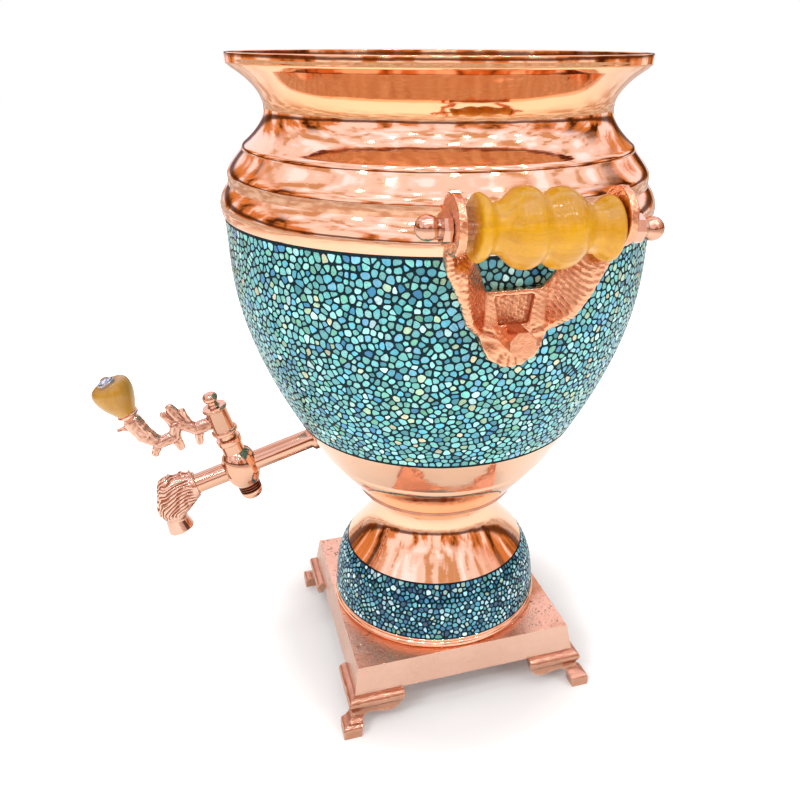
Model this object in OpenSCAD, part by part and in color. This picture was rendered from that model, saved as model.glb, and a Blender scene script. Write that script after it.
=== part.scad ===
// Charcoal samovar: a spun copper urn with a turquoise inlay, on a pedestal and a footed plinth.
// Millimetres, +Z up. The origin is on the urn's axis, in the plane that the feet stand on.
// The tap points to -Y, and the two handles are on +X and -X.

/* [Base] */
// Height of the bracket feet
foot_h = 26; // [24:0.5:28]
// Height of the plinth
plinth_h = 20; // [18:0.5:22]
// How far the plinth's top edge stands out past the pedestal
plinth_margin = 1.3; // [1:0.1:2.3]
// How much further the plinth's lower edge stands out
plinth_flare = 3.3; // [2.5:0.1:4.5]
// Height of the bead ring under the pedestal
ring_h = 7; // [7:0.1:8]
// Height of the pedestal, from the bead ring to the waist
pedestal_h = 74; // [72:0.5:76]

/* [Urn] */
// Height of the waist collar
collar_h = 14.4; // [14.4:0.1:15.5]
// Thickness of the copper sheet
wall = 1.8; // [1.6:0.1:2]
// Thickness of the turquoise inlay
inlay = 2.2; // [1.8:0.1:2.4]
// Height of the bowl under the step
bowl_h = 32; // [31:0.5:33]
// Height of the copper band over the step
band_h = 26.5; // [26:0.5:27]
// Height of the turquoise zone
inlay_h = 140.3; // [139:0.1:141]
// Height of the stepped shoulder
shoulder_h = 62; // [61.5:0.5:63]
// Height of the flared gallery over the neck
gallery_h = 31; // [31:0.5:32]
// Radius of the rim
rim_r = 127.5; // [127.3:0.1:128]

/* [Tap] */
// Distance from the urn's axis to the plug's axis, at the height of the pipe
tap_reach = 139; // [137:0.5:141]
// Drop from the urn's step to the place where the pipe's axis crosses the plug's axis
tap_drop = 5.2; // [4:0.1:6]
// Downward slope of the tap's pipe, in degrees
tap_slope = 16.5; // [16:0.5:17]
// Outer radius of the tap's pipes
pipe_r = 6.8; // [6.6:0.1:7]
// Radius of the water passage
bore_r = 4.2; // [3.8:0.1:4.3]

/* [Handles] */
// Distance from the urn's face to a handle's rod, at the height of the bolts
handle_out = 32.1; // [31.1:0.1:35.1]
// Drop from the shoulder's lower edge to the handle bolts
bolt_drop = 42; // [40:0.5:43]
// Height of the brackets' ears above the bolts
ear_rise = 65.4; // [64:0.2:66]
// Length of a wooden grip
grip_l = 70; // [67:0.5:70]
// Angle by which the handle on +X is turned about the urn's axis, in degrees
near_turn = -1; // [-2:0.1:0]
// Angle at which the rod on +X is drilled through its ears, in degrees
near_skew = 3.4; // [0:0.1:3.6]

/* [Hidden] */
$fn = 96;

// Heights of the levels, from the feet up.
z_ring = foot_h + plinth_h;
z_pedestal = z_ring + ring_h;
z_waist = z_pedestal + pedestal_h;
z_floor = z_waist + collar_h;
z_bowl = z_floor + wall;
z_step = z_bowl + bowl_h;
z_band = z_step + band_h;
z_shoulder = z_band + inlay_h;
z_neck = z_shoulder + shoulder_h;
z_rim = z_neck + gallery_h;

// Radii that two or more pieces share.
waist_r = 45;
dome_r = 65.3;
dome_h = 34.6;
pedestal_r = 76.2;
ring_r = pedestal_r + 0.8;
plinth_top = pedestal_r + plinth_margin;
plinth_low = plinth_top + plinth_flare;
floor_r = 57.2;
step_r = 82.6;
band_r = 98.1;
top_r = 135.3;
neck_r = 107.3;
tube_low_r = 40;
tube_top_r = 32;
z_tube = z_rim - 15;

// Screws and their holes.
screw_r = 2;
screw_gap = 0.05;
screw_hole_r = screw_r + screw_gap;
foot_screw_x = plinth_top - 9.5;
pedestal_screw_x = (pedestal_r - 10.2) / sqrt(2);

// The lid rests on a flat seat ring in the neck.
seat_t = 2.5;
lid_r = neck_r - wall - 0.6;
lid_t = 1.8;
lid_hole_r = tube_top_r + 1.2;
lid_knob_x = (lid_r + lid_hole_r) / 2 + 0.95;
lid_flat_z = z_neck + 7;
cap_r = tube_top_r + 4;
cap_t = 3;

// The tap's levels along the plug, measured from the pipe's axis.
tap_z = z_step - tap_drop;
seat_top = 24;
seat_low = -19.5;
cap_z = seat_low + 0.7;
seat_top_r = 6.3;
seat_low_r = 5.3;
running_gap = 0.05;
socket_x = 10;
spout_x = 31;
outlet_x = spout_x + 22.2;
sleeve_low = seat_top + 0.3;
sleeve_l = 24.9;
sleeve_top = sleeve_low + sleeve_l;
tang_top = sleeve_top - 2.2;
sleeve_r = 7.2;
tang_w = 6.4;
knob_x = 50.4;
knob_z = sleeve_low + 39.6;
knob_lean = 7;
knob_h = 25.8;

// Handle fittings.
rod_r = 3.2;
ear_r = 14.3;
ear_t = 4.2;
grip_gap = 3.6;
ear_y = grip_l / 2 + grip_gap;
rod_end = ear_y + 15.4;
near_shift = 2.4;
near_drop = 3.7;
// The skewed rod's collars touch the ears on one side only.
collar_gap = 0.6;
bolt_r = 4;
bolt_z = z_shoulder - bolt_drop;
hub_w = 20;

copper = "#d9936f";
cast_copper = "#d8a085";
turquoise = "#3f9a9a";
wood = "#e0a030";
steel = "#b8b8ba";
iron = "#4a4a4c";
rubber = "#303030";

// ---- Curves and shared shapes ----

// Points along a cubic curve from a to d, with b and c as its handles.
function curve(a, b, c, d, n = 12) =
    [for (i = [0 : n]) let (t = i / n, s = 1 - t)
        s * s * s * a + 3 * s * s * t * b + 3 * s * t * t * c + t * t * t * d];
function tail(v) = [for (i = [1 : len(v) - 1]) v[i]];
function backwards(v) = [for (i = [len(v) - 1 : -1 : 0]) v[i]];
// A profile that runs downwards, moved towards the axis by d. Its ends stay at their heights.
function inset(v, d) =
    [for (i = [0 : len(v) - 1])
        let (last = len(v) - 1, run = v[min(i + 1, last)] - v[max(i - 1, 0)], t = run / norm(run))
        i == 0 || i == last ? [v[i][0] - d / abs(t[1]), v[i][1]] : v[i] + d * [t[1], -t[0]]];
function mirrored(v) = [for (p = v) [p[0], -p[1]]];

module spun(points) {
    rotate_extrude() polygon(points);
}

module at_corners(x) {
    for (sx = [-1, 1], sy = [-1, 1]) translate([sx * x, sy * x, 0]) children();
}

// ---- Profiles of the urn, all running downwards as [radius, height] ----

body_curve = curve([top_r, z_shoulder], [top_r - 3.3, z_shoulder - inlay_h / 5],
    [top_r + 5.9, z_band + 0.56 * inlay_h], [band_r, z_band], 26);
band_curve = curve([band_r, z_band], [band_r - 4.6, z_band - 8.3], [step_r + 5.8, z_step + 9.4],
    [step_r, z_step], 6);
bowl_curve = curve([step_r - 4.2, z_step - 4.7], [step_r - 9.6, z_step - 13.7],
    [floor_r + 7.3, z_bowl + 9.8], [floor_r, z_bowl], 10);
dome_curve = curve([waist_r, z_waist], [waist_r, z_waist - 12.5],
    [dome_r - 8.1, z_waist - dome_h + 9.4], [dome_r, z_waist - dome_h], 14);
pedestal_curve = curve([dome_r, z_waist - dome_h], [pedestal_r - 1.2, z_waist - dome_h - 11.9],
    [pedestal_r - 1.9, z_pedestal + 15.6], [pedestal_r, z_pedestal], 14);
flare_curve = curve([rim_r - 2.9, z_rim - 8.4], [rim_r - 10, z_rim - 13], [neck_r, z_neck + 10],
    [neck_r, z_neck], 14);
// A point r out from the neck and h under it, on a shoulder that runs 28 out and 62 down.
function on_shoulder(r, h) = [neck_r + r * (top_r - neck_r) / 28, z_neck - h * shoulder_h / 62];
// Three stepped rings: each slopes out, turns over a rounded edge and drops as a short wall.
shoulder_curve = concat(
    curve(on_shoulder(0, 0), on_shoulder(0, 7), on_shoulder(6.2, 14.5), on_shoulder(12.2, 19.5)),
    tail(curve(on_shoulder(12.2, 19.5), on_shoulder(13.7, 20.7), on_shoulder(14.6, 21.5),
        on_shoulder(14.6, 23.5), 4)),
    tail(curve(on_shoulder(14.6, 23.5), on_shoulder(17.7, 28), on_shoulder(24.2, 34),
        on_shoulder(24.2, 38), 8)),
    [on_shoulder(23.9, 43.8)],
    tail(curve(on_shoulder(23.9, 43.8), on_shoulder(26.7, 47), on_shoulder(29.7, 51.5),
        on_shoulder(29.6, 56.5), 8)),
    [on_shoulder(28.9, 60.6), [top_r + 0.3, z_shoulder]]);

// The step and the bowl under it.
foot_curve = concat([[step_r - 3.4, z_step - 1.2]], bowl_curve);
body_back = inset(concat(body_curve, tail(band_curve)), inlay + wall);

// Radius of a profile that runs downwards, at the height z.
function radius_at(profile, z) = lookup(z, [for (p = backwards(profile)) [p[1], p[0]]]);

// Where the handles bear on the urn, as distances from its axis.
hug_r = radius_at(body_curve, bolt_z);
hub_x = hug_r + 7.1;
nut_seat_x = hug_r - 8.9;
handle_reach = hug_r + handle_out;

// Where the tap's pipe goes through the urn's wall, as a distance from the plug's axis.
pipe_z = tap_z + (tap_reach - (band_r + step_r) / 2) * tan(tap_slope);
through_x = (tap_reach - radius_at(concat(body_curve, tail(band_curve)), pipe_z)) / cos(tap_slope);
lock_x = through_x + 12;

// The urn filled in, out to the face of its wall and of its inlay.
module urn_outside() {
    spun(concat([[0, z_shoulder]], body_curve, tail(band_curve), foot_curve, [[0, z_bowl]]));
}

// The water space filled in.
module urn_inside() {
    spun(concat([[0, z_shoulder]], body_back, [[0, z_step]]));
}

// ---- Base ----

module plinth_block(top, low, z_low, z_top) {
    half = [[-low, z_low], [low, z_low], [top, z_top], [-top, z_top]];
    intersection() {
        translate([0, low, 0]) rotate([90, 0, 0]) linear_extrude(2 * low) polygon(half);
        translate([-low, 0, 0]) rotate([90, 0, 90]) linear_extrude(2 * low) polygon(half);
    }
}

module base_plinth() {
    plinth_wall = 4;
    deck = 3;
    boss_r = 6.5;
    air_hole_r = pedestal_r - 24.2;
    color(cast_copper) difference() {
        union() {
            difference() {
                plinth_block(plinth_top, plinth_low, foot_h, z_ring);
                plinth_block(plinth_top - plinth_wall, plinth_low - plinth_wall,
                    foot_h - 0.01, z_ring - deck);
            }
            translate([0, 0, foot_h]) at_corners(foot_screw_x) cylinder(r = boss_r, h = plinth_h - 1);
        }
        translate([0, 0, foot_h]) cylinder(r = air_hole_r, h = plinth_h + 1);
        translate([0, 0, foot_h - 1]) at_corners(foot_screw_x) cylinder(r = screw_hole_r, h = 14);
        translate([0, 0, foot_h]) at_corners(pedestal_screw_x)
            cylinder(r = screw_hole_r, h = plinth_h + 1);
    }
}

// A bracket foot for the corner at +X +Y: an ogee bar along each side, mitred at the corner.
module bracket_foot() {
    c = plinth_low;
    k = foot_h / 26;
    toe = 10.2;
    reach = 44.5;
    screw_flat = foot_h - 4;
    ogee = concat([[c - 40, foot_h]],
        curve([c, foot_h], [c + 4.5, 26 * k], [c + 7, 21.5 * k], [c + 3.4, 17.8 * k], 7),
        tail(curve([c + 3.4, 17.8 * k], [c + 1.8, 12.5], [c + 4.2, 9.6], [c + 8.2, 8.8], 6)),
        [[c + toe - 0.5, 7.8], [c + toe, 6.6], [c + toe, 0], [c - 40, 0]]);
    // The scalloped lower edge, by distance from the toe's face.
    scallop = concat([[12.5, -1]],
        curve([12.5, 0], [12.6, 7], [14.5, 12.6], [19, 12.6], 6),
        tail(curve([19, 12.6], [24, 12.8], [28, 11], [33, 11], 4)),
        tail(curve([33, 11], [40, 11], [44, 15], [reach, 22], 6)),
        [[reach, foot_h + 1], [reach + 12, foot_h + 1], [reach + 12, -1]]);
    module bar() {
        translate([0, c + 12, 0]) rotate([90, 0, 0]) linear_extrude(52) polygon(ogee);
    }
    module scallop_cut() {
        translate([c - 42, c + toe, 0]) rotate([90, 0, 90])
            linear_extrude(60) polygon([for (p = scallop) [-p[0], p[1]]]);
    }
    difference() {
        intersection() {
            bar();
            mirror([1, -1, 0]) bar();
        }
        translate([c - 41, c - 41, -1]) cube([40.2, 40.2, screw_flat + 1]);
        scallop_cut();
        mirror([1, -1, 0]) scallop_cut();
        translate([foot_screw_x, foot_screw_x, -1]) cylinder(r = screw_hole_r, h = foot_h + 2);
    }
}

module foot_rear_right() {
    color(cast_copper) bracket_foot();
}

module foot_rear_left() {
    color(cast_copper) mirror([1, 0, 0]) bracket_foot();
}

module foot_front_right() {
    color(cast_copper) mirror([0, 1, 0]) bracket_foot();
}

module foot_front_left() {
    color(cast_copper) mirror([1, 0, 0]) mirror([0, 1, 0]) bracket_foot();
}

// A cheese-head screw that points up, with its head's top face at the height 0.
module screw(length, head_r = 3.8, head_h = 2.8) {
    slot_w = 1;
    slot_d = 1.2;
    cylinder(r = screw_r, h = length);
    translate([0, 0, -head_h]) difference() {
        cylinder(r = head_r, h = head_h);
        translate([-head_r, -slot_w / 2, -1]) cube([2 * head_r, slot_w, slot_d + 1]);
    }
}

module foot_screws() {
    color(steel) translate([0, 0, foot_h - 4]) at_corners(foot_screw_x) screw(15);
}

// ---- Pedestal ----

module pedestal_bead_ring() {
    ring_in = pedestal_r - 20.2;
    bead_r = 2.4;
    fillet_r = 1;
    color(copper) difference() {
        rotate_extrude() {
            translate([ring_in, z_ring]) square([pedestal_r - fillet_r - ring_in, ring_h]);
            translate([ring_r - bead_r, z_ring + bead_r + 0.1]) circle(bead_r);
            translate([pedestal_r - fillet_r, z_pedestal - fillet_r]) circle(fillet_r);
        }
        translate([0, 0, z_ring - 1]) at_corners(pedestal_screw_x)
            cylinder(r = screw_hole_r, h = ring_h + 2);
    }
}

module pedestal_shell() {
    flange_r = pedestal_r - 18.2;
    flange_t = 3;
    bed = inset(pedestal_curve, inlay);
    back = inset(pedestal_curve, inlay + wall);
    dome_back = curve([waist_r - wall, z_waist], [waist_r - wall, z_waist - 15],
        [dome_r - 11.3, z_waist - dome_h + 7.6], back[0], 12);
    back_low = [for (p = tail(back)) if (p[1] > z_pedestal + flange_t + 1) p];
    flange_out = back[len(back) - 1][0] - 0.3;
    color(copper) difference() {
        spun(concat(dome_curve, bed,
            [[flange_r, z_pedestal], [flange_r, z_pedestal + flange_t],
                [flange_out, z_pedestal + flange_t]],
            backwards(back_low), backwards(dome_back)));
        translate([0, 0, z_pedestal - 1]) at_corners(pedestal_screw_x)
            cylinder(r = screw_hole_r, h = flange_t + 2);
    }
}

module pedestal_inlay() {
    color(turquoise) spun(concat(pedestal_curve, backwards(inset(pedestal_curve, inlay))));
}

module pedestal_screws() {
    color(steel) translate([0, 0, z_ring - 3]) at_corners(pedestal_screw_x) screw(13);
}

// ---- Urn ----

module waist_collar() {
    flange_out = floor_r - 1.2;
    flange_in = waist_r - 9;
    flange_t = 2;
    color(copper) spun(concat([[flange_out, z_floor]],
        curve([flange_out, z_floor - 0.8], [(flange_out + waist_r) / 2, z_floor - 1.4],
            [waist_r, z_floor - 6.4], [waist_r, z_waist], 12),
        [[waist_r - wall, z_waist], [waist_r - wall, z_floor - flange_t],
            [flange_in, z_floor - flange_t], [flange_in, z_floor]]));
}

module vessel_floor() {
    color(copper) translate([0, 0, z_floor]) difference() {
        cylinder(r = floor_r, h = wall);
        translate([0, 0, -1]) cylinder(r = tube_low_r, h = wall + 2);
    }
}

module fire_tube() {
    z_box = z_floor + 48;
    z_slim = z_floor + 150;
    outside = [[tube_top_r, z_tube], [tube_top_r, z_slim], [tube_low_r, z_box],
        [tube_low_r, z_floor]];
    color(copper) spun(concat(outside, [for (p = backwards(outside)) [p[0] - wall, p[1]]]));
}

module fire_grate() {
    grate_r = tube_low_r - wall - 0.4;
    grate_t = 4;
    bar_gap = 5;
    pitch = 10;
    color(iron) translate([0, 0, z_floor]) difference() {
        cylinder(r = grate_r, h = grate_t);
        for (i = [-2 : 2]) {
            slot_l = 2 * sqrt(pow(grate_r - 5, 2) - pow(i * pitch, 2));
            translate([i * pitch - bar_gap / 2, -slot_l / 2, -1]) cube([bar_gap, slot_l, grate_t + 2]);
        }
    }
}

module body_shell() {
    bed = inset(body_curve, inlay);
    bowl_back = inset(bowl_curve, wall);
    color(copper) difference() {
        spun(concat(bed, band_curve, foot_curve, backwards(bowl_back), backwards(body_back)));
        tap_frame() rotate([0, -90, 0]) cylinder(r = pipe_r + running_gap, h = tap_reach);
        handle_frame(1) bolt_hole();
        handle_frame(-1) bolt_hole();
    }
}

module body_inlay() {
    color(turquoise) difference() {
        spun(concat(body_curve, backwards(inset(body_curve, inlay))));
        handle_frame(1) bolt_hole();
        handle_frame(-1) bolt_hole();
    }
}

module shoulder() {
    color(copper) spun(concat(shoulder_curve,
        [[body_back[0][0], z_shoulder], [body_back[0][0], z_shoulder + 9]],
        curve(on_shoulder(20.2, 43), on_shoulder(17.7, 35), on_shoulder(-0.8, 22),
            [neck_r - wall, z_neck - 9], 10),
        [[neck_r - wall, z_neck]]));
}

module gallery() {
    lip = 2.6;
    lip_curve = concat([[rim_r - 0.5, z_rim], [rim_r, z_rim - 0.6], [rim_r + 0.1, z_rim - 4],
        [rim_r - 1, z_rim - 6.6]], flare_curve);
    flare_back = inset(flare_curve, wall);
    color(copper) spun(concat(lip_curve, backwards(tail(flare_back)),
        [[rim_r - lip - 0.2, z_rim - 5], [rim_r - lip, z_rim - 3], [rim_r - lip, z_rim]]));
}

// ---- Lid and flue cap ----

module lid_seat_ring() {
    color(copper) translate([0, 0, z_neck - seat_t]) difference() {
        cylinder(r = neck_r - wall, h = seat_t);
        translate([0, 0, -1]) cylinder(r = lid_r - 6, h = seat_t + 2);
    }
}

module lid() {
    vent_r = 3;
    rise = lid_flat_z - z_neck;
    color(copper) difference() {
        spun([[lid_r, z_neck], [lid_r, z_neck + lid_t], [lid_r - 9, z_neck + lid_t],
            [lid_r - 14, z_neck + lid_t + rise - lid_t], [lid_hole_r + lid_t, lid_flat_z],
            [lid_hole_r + lid_t, lid_flat_z + 1.8], [lid_hole_r, lid_flat_z + 1.8],
            [lid_hole_r, lid_flat_z - lid_t], [lid_r - 15, lid_flat_z - lid_t],
            [lid_r - 10, z_neck]]);
        for (side = [-1, 1]) translate([side * lid_knob_x, 0, z_neck])
            cylinder(r = screw_hole_r, h = rise + 1);
        for (side = [-1, 1]) translate([0, side * lid_knob_x, z_neck])
            cylinder(r = vent_r, h = rise + 1);
    }
}

// A small turned knob on its flat foot, with a screw hole from below.
module turned_knob(k, depth) {
    difference() {
        spun(concat([[0, 0], [5 * k, 0], [5 * k, 2 * k]],
            curve([5 * k, 2 * k], [3 * k, 4 * k], [3.2 * k, 6 * k], [5.5 * k, 8 * k], 5),
            tail(curve([5.5 * k, 8 * k], [10.5 * k, 11 * k], [9.5 * k, 18 * k], [3 * k, 19.5 * k], 9)),
            [[0, 19.5 * k]]));
        translate([0, 0, -1]) cylinder(r = screw_hole_r, h = depth + 1);
    }
}

module lid_knob(side) {
    color(wood) translate([side * lid_knob_x, 0, lid_flat_z]) turned_knob(1, 9);
}

module lid_knob_right() {
    lid_knob(1);
}

module lid_knob_left() {
    lid_knob(-1);
}

module lid_knob_screws() {
    color(steel) for (side = [-1, 1])
        translate([side * lid_knob_x, 0, lid_flat_z - lid_t]) screw(9.8);
}

module flue_cap() {
    plug_r = tube_top_r - wall - 1;
    plug_h = 4;
    color(copper) translate([0, 0, z_tube]) difference() {
        union() {
            translate([0, 0, -plug_h]) cylinder(r = plug_r, h = plug_h + 1);
            cylinder(r = cap_r, h = cap_t);
        }
        translate([0, 0, -plug_h - 1]) cylinder(r = plug_r - wall, h = plug_h + 1);
        translate([0, 0, -1]) cylinder(r = screw_hole_r, h = cap_t + 2);
    }
}

// The cap's small knob, with the screw that holds it from inside the cap.
module flue_cap_knob() {
    k = 0.5;
    color(wood) translate([0, 0, z_tube + cap_t]) {
        turned_knob(k, 0);
        translate([0, 0, -cap_t]) cylinder(r = screw_r, h = cap_t + 1);
        translate([0, 0, -cap_t - 2]) cylinder(r = 4, h = 2);
    }
}

// ---- Tap: +X runs out along the pipe, +Z up along the plug ----

module tap_frame() {
    translate([0, -tap_reach, tap_z]) rotate([tap_slope, 0, 0]) rotate([0, 0, -90]) children();
}

module along_pipe(x) {
    translate([x, 0, 0]) rotate([0, 90, 0]) children();
}

module tap_collar() {
    collar_r = 9;
    stand_off = 3;
    color(copper) difference() {
        tap_frame() along_pipe(stand_off - through_x - 16) difference() {
            union() {
                cylinder(r = collar_r, h = 15);
                cylinder(r = collar_r - 1.2, h = 16);
            }
            translate([0, 0, -1]) cylinder(r = pipe_r + running_gap, h = 20);
        }
        urn_outside();
    }
}

module tap_pipe() {
    inner_end = through_x + 21;
    color(copper) tap_frame() along_pipe(-inner_end) difference() {
        cylinder(r = pipe_r, h = inner_end - socket_x);
        translate([0, 0, -1]) cylinder(r = bore_r, h = inner_end + 2);
    }
}

module tap_gasket() {
    color(rubber) intersection() {
        tap_frame() along_pipe(-lock_x) difference() {
            cylinder(r = 10, h = 14);
            translate([0, 0, -1]) cylinder(r = pipe_r + running_gap, h = 16);
        }
        urn_inside();
    }
}

module tap_lock_nut() {
    nut_h = 6;
    color(copper) tap_frame() along_pipe(-lock_x - nut_h) difference() {
        cylinder(r = 11.5, h = nut_h, $fn = 6);
        translate([0, 0, -1]) cylinder(r = pipe_r + running_gap, h = nut_h + 2);
    }
}

module tap_barrel() {
    ball_r = 12.8;
    thread_r = 7.7;
    spigot_r = 6.9;
    side = concat([[8.4, seat_top], [8.4, seat_top - 3.4], [7.3, seat_top - 4.4], [7.3, 13.2]],
        curve([9.6, 11], [12.6, 7], [ball_r + 0.5, -3.5], [9.8, cap_z + 8.2], 10),
        [[8, cap_z + 5.6]],
        [for (i = [0 : 2]) let (z = cap_z + 5.1 - i * 1.7) each [[thread_r, z], [thread_r - 0.7, z - 0.85]]],
        [[thread_r, cap_z], [spigot_r, cap_z], [spigot_r, seat_low]]);
    color(copper) tap_frame() difference() {
        spun(concat([[0, seat_top]], side, [[0, seat_low]]));
        translate([0, 0, seat_low]) cylinder(r1 = seat_low_r, r2 = seat_top_r, h = seat_top - seat_low);
        along_pipe(-20) cylinder(r = bore_r, h = 40);
        along_pipe(-20) cylinder(r = pipe_r, h = 20 - socket_x);
        along_pipe(socket_x) cylinder(r = pipe_r, h = 10);
    }
}

module tap_outlet_pipe() {
    color(copper) tap_frame() along_pipe(socket_x) difference() {
        cylinder(r = pipe_r, h = spout_x + 3 - socket_x);
        translate([0, 0, -1]) cylinder(r = bore_r, h = 40);
    }
}

module tap_spout() {
    mouth_z = -27.4;
    neck_r_low = 7;
    crest = [[0, 6], [1.5, 12.1], [3.6, 9.9], [7.3, 13.5], [10.6, 10.7], [15.2, 14.5],
        [18, 11.5], [22.4, 12.9], [25, 8], [27, 2], [14, -4]];
    color(cast_copper) tap_frame() difference() {
        union() {
            hull() {
                along_pipe(spout_x) cylinder(r = 8.2, h = 3, $fn = 32);
                translate([spout_x + 9.5, 0, 3.5]) sphere(r = 8.2, $fn = 32);
                translate([spout_x + 17.5, 0, 4.8]) sphere(r = 8.4, $fn = 32);
                translate([outlet_x + 1.1, 0, -9.6]) sphere(r = 8.4, $fn = 32);
                translate([outlet_x, 0, -18]) cylinder(r = neck_r_low, h = 2, $fn = 32);
            }
            translate([spout_x, 2, 0]) rotate([90, 0, 0]) linear_extrude(4) polygon(crest);
            translate([outlet_x, 0, mouth_z])
                cylinder(r1 = 9, r2 = neck_r_low, h = -16 - mouth_z);
        }
        along_pipe(spout_x - 1) cylinder(r = pipe_r, h = 4);
        along_pipe(spout_x) cylinder(r = bore_r, h = outlet_x - spout_x);
        translate([outlet_x, 0, 0]) sphere(r = 4.6);
        translate([outlet_x, 0, mouth_z - 1]) cylinder(r = 4.6, h = 1 - mouth_z);
        translate([outlet_x, 0, mouth_z - 0.01]) cylinder(r1 = 7.8, r2 = 4.6, h = 8);
    }
}

module tap_plug() {
    stud_r = 2.5;
    stud_low = seat_low - 4;
    cone_low = seat_low + 0.5;
    slope = (seat_top_r - seat_low_r) / (seat_top - seat_low);
    color(copper) tap_frame() difference() {
        union() {
            translate([0, 0, cone_low]) cylinder(
                r1 = seat_low_r - running_gap + slope * 0.5, r2 = seat_top_r - running_gap,
                h = seat_top - cone_low);
            translate([0, 0, stud_low]) cylinder(r = stud_r, h = cone_low - stud_low + 1);
            translate([-tang_w / 2, -tang_w / 2, seat_top - 1])
                cube([tang_w, tang_w, tang_top - seat_top + 1]);
        }
        // The port lies across the pipe while the lever points along the spout.
        translate([0, 10, 0]) rotate([90, 0, 0]) cylinder(r = bore_r - 0.2, h = 20);
        translate([0, 0, sleeve_top - 13.2]) cylinder(r = screw_hole_r, h = 20);
    }
}

module tap_plug_washer() {
    color(steel) tap_frame() translate([0, 0, seat_low - 0.85]) difference() {
        cylinder(r = 5.2, h = 0.8);
        translate([0, 0, -1]) cylinder(r = 2.55, h = 3);
    }
}

module tap_plug_nut() {
    color(steel) tap_frame() translate([0, 0, seat_low - 3.05]) difference() {
        cylinder(r = 4.6, h = 2.2, $fn = 6);
        translate([0, 0, -1]) cylinder(r = 2.5, h = 5);
    }
}

module tap_cap_nut() {
    color(copper) tap_frame() difference() {
        translate([0, 0, cap_z]) spun(concat([[0, 0], [7.6, 0], [7.6, -1.6]],
            curve([7.6, -1.6], [7.2, -5.2], [4.5, -7.2], [0, -7.2], 8)));
        translate([0, 0, seat_low]) cylinder(r = 6.9, h = 4);
        translate([0, 0, seat_low - 3.3]) cylinder(r = 5.3, h = 4);
        translate([0, 0, seat_low - 4.5]) cylinder(r = 3.2, h = 4);
    }
}

module tap_key_sleeve() {
    color(copper) tap_frame() difference() {
        translate([0, 0, sleeve_low]) spun([[0, 0], [5.6, 0], [5.2, 2.2], [5.6, 3.7], [7.9, 4],
            [8.7, 4.9], [8.7, 5.9], [7.9, 6.9], [sleeve_r, 7.3], [sleeve_r, sleeve_l - 3.2],
            [8, sleeve_l - 2.8], [8.3, sleeve_l - 2], [8.3, sleeve_l - 0.8], [7.8, sleeve_l], [0, sleeve_l]]);
        translate([-tang_w / 2 - running_gap, -tang_w / 2 - running_gap, sleeve_low - 1])
            cube([tang_w + 2 * running_gap, tang_w + 2 * running_gap, tang_top - sleeve_low + 1]);
        translate([0, 0, tang_top - 7]) cylinder(r = screw_hole_r, h = 12);
    }
}

module tap_key_finial() {
    color(copper) tap_frame() {
        translate([0, 0, sleeve_top]) spun([[0, 0], [4.2, 0], [3.3, 1], [3.3, 3.4], [4.4, 4.3],
            [5.1, 5.4], [5.1, 7.2], [4.3, 8.7], [2.5, 9.5], [0, 9.7]]);
        translate([0, 0, sleeve_top - 11.2]) cylinder(r = screw_r, h = 12);
    }
}

// The branch: a stem of joined twigs. Each is [start, end, start radius, end radius, half depth],
// with its places out from the plug's axis and up from the sleeve's foot.
module tap_lever() {
    top = [knob_x, knob_z - sleeve_low];
    fork = [top[0] - 3, top[1] - 15.7];
    twigs = [
        [[5, 14.2], [14.5, 14], 4.9, 4.6, 4.4], [[15, 12.2], [17.6, 4.6], 3.4, 2.7, 2.9],
        [[18.5, 16.7], [19.8, 29.5], 2.6, 2.3, 3], [[16.5, 14], [23.5, 21.7], 4.2, 4.4, 4],
        [[22.6, 23.2], [25.6, 34.3], 4.4, 3.3, 3.2], [[26.5, 21.9], [31.2, 31.7], 4.4, 2.5, 3],
        [[27, 21.2], [30.4, 15.2], 4.4, 4, 4], [[30.2, 15.7], [30, 6.2], 3.7, 3, 3.1],
        [[30.8, 14.5], [41.4, 14.3], 4.2, 4.2, 4], [[42, 13.7], [46.4, 8], 3.5, 2.6, 2.9],
        [[41.4, 15.1], fork, 4.3, 5.8, 4.6], [fork, top - [0.6, 5.3], 5.8, 6.2, 5.6],
        [top + [0.6, -8.3], top + [10, -6.7], 2.8, 1.4, 1.8]];
    color(cast_copper) tap_frame() difference() {
        union() {
            for (twig = twigs) hull() for (end = [0, 1])
                translate([twig[end][0], 0, sleeve_low + twig[end][1]])
                    scale([1, twig[4] / max(twig[2], twig[3]), 1]) sphere(r = twig[2 + end], $fn = 16);
        }
        translate([0, 0, sleeve_low + 5]) cylinder(r = sleeve_r + running_gap, h = sleeve_l - 5, $fn = 64);
        knob_frame() cylinder(r = 12, h = 12);
    }
}

// The knob's own frame: its axis leans out a little from the plug's.
module knob_frame() {
    translate([knob_x, 0, knob_z]) rotate([0, knob_lean, 0]) children();
}

module tap_ferrule() {
    ferrule_h = 3.4;
    color(cast_copper) tap_frame() knob_frame() difference() {
        spun([[0, 0], [6, 0], [6.9, 0.8], [6.9, 2], [6.2, 2.6], [6.6, ferrule_h], [0, ferrule_h]]);
        translate([0, 0, 1]) cylinder(r = screw_hole_r, h = 6);
    }
}

module tap_knob() {
    color(wood) tap_frame() knob_frame() difference() {
        spun(concat([[0, 3.4], [6.7, 3.4]],
            curve([6.7, 3.4], [8.6, 7.5], [12.5, 13.5], [12.6, 19.5], 8),
            tail(curve([12.6, 19.5], [12.7, 23.3], [11.4, knob_h], [8, knob_h], 7)), [[0, knob_h]]));
        translate([0, 0, 1]) cylinder(r = screw_hole_r, h = 30);
    }
}

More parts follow.
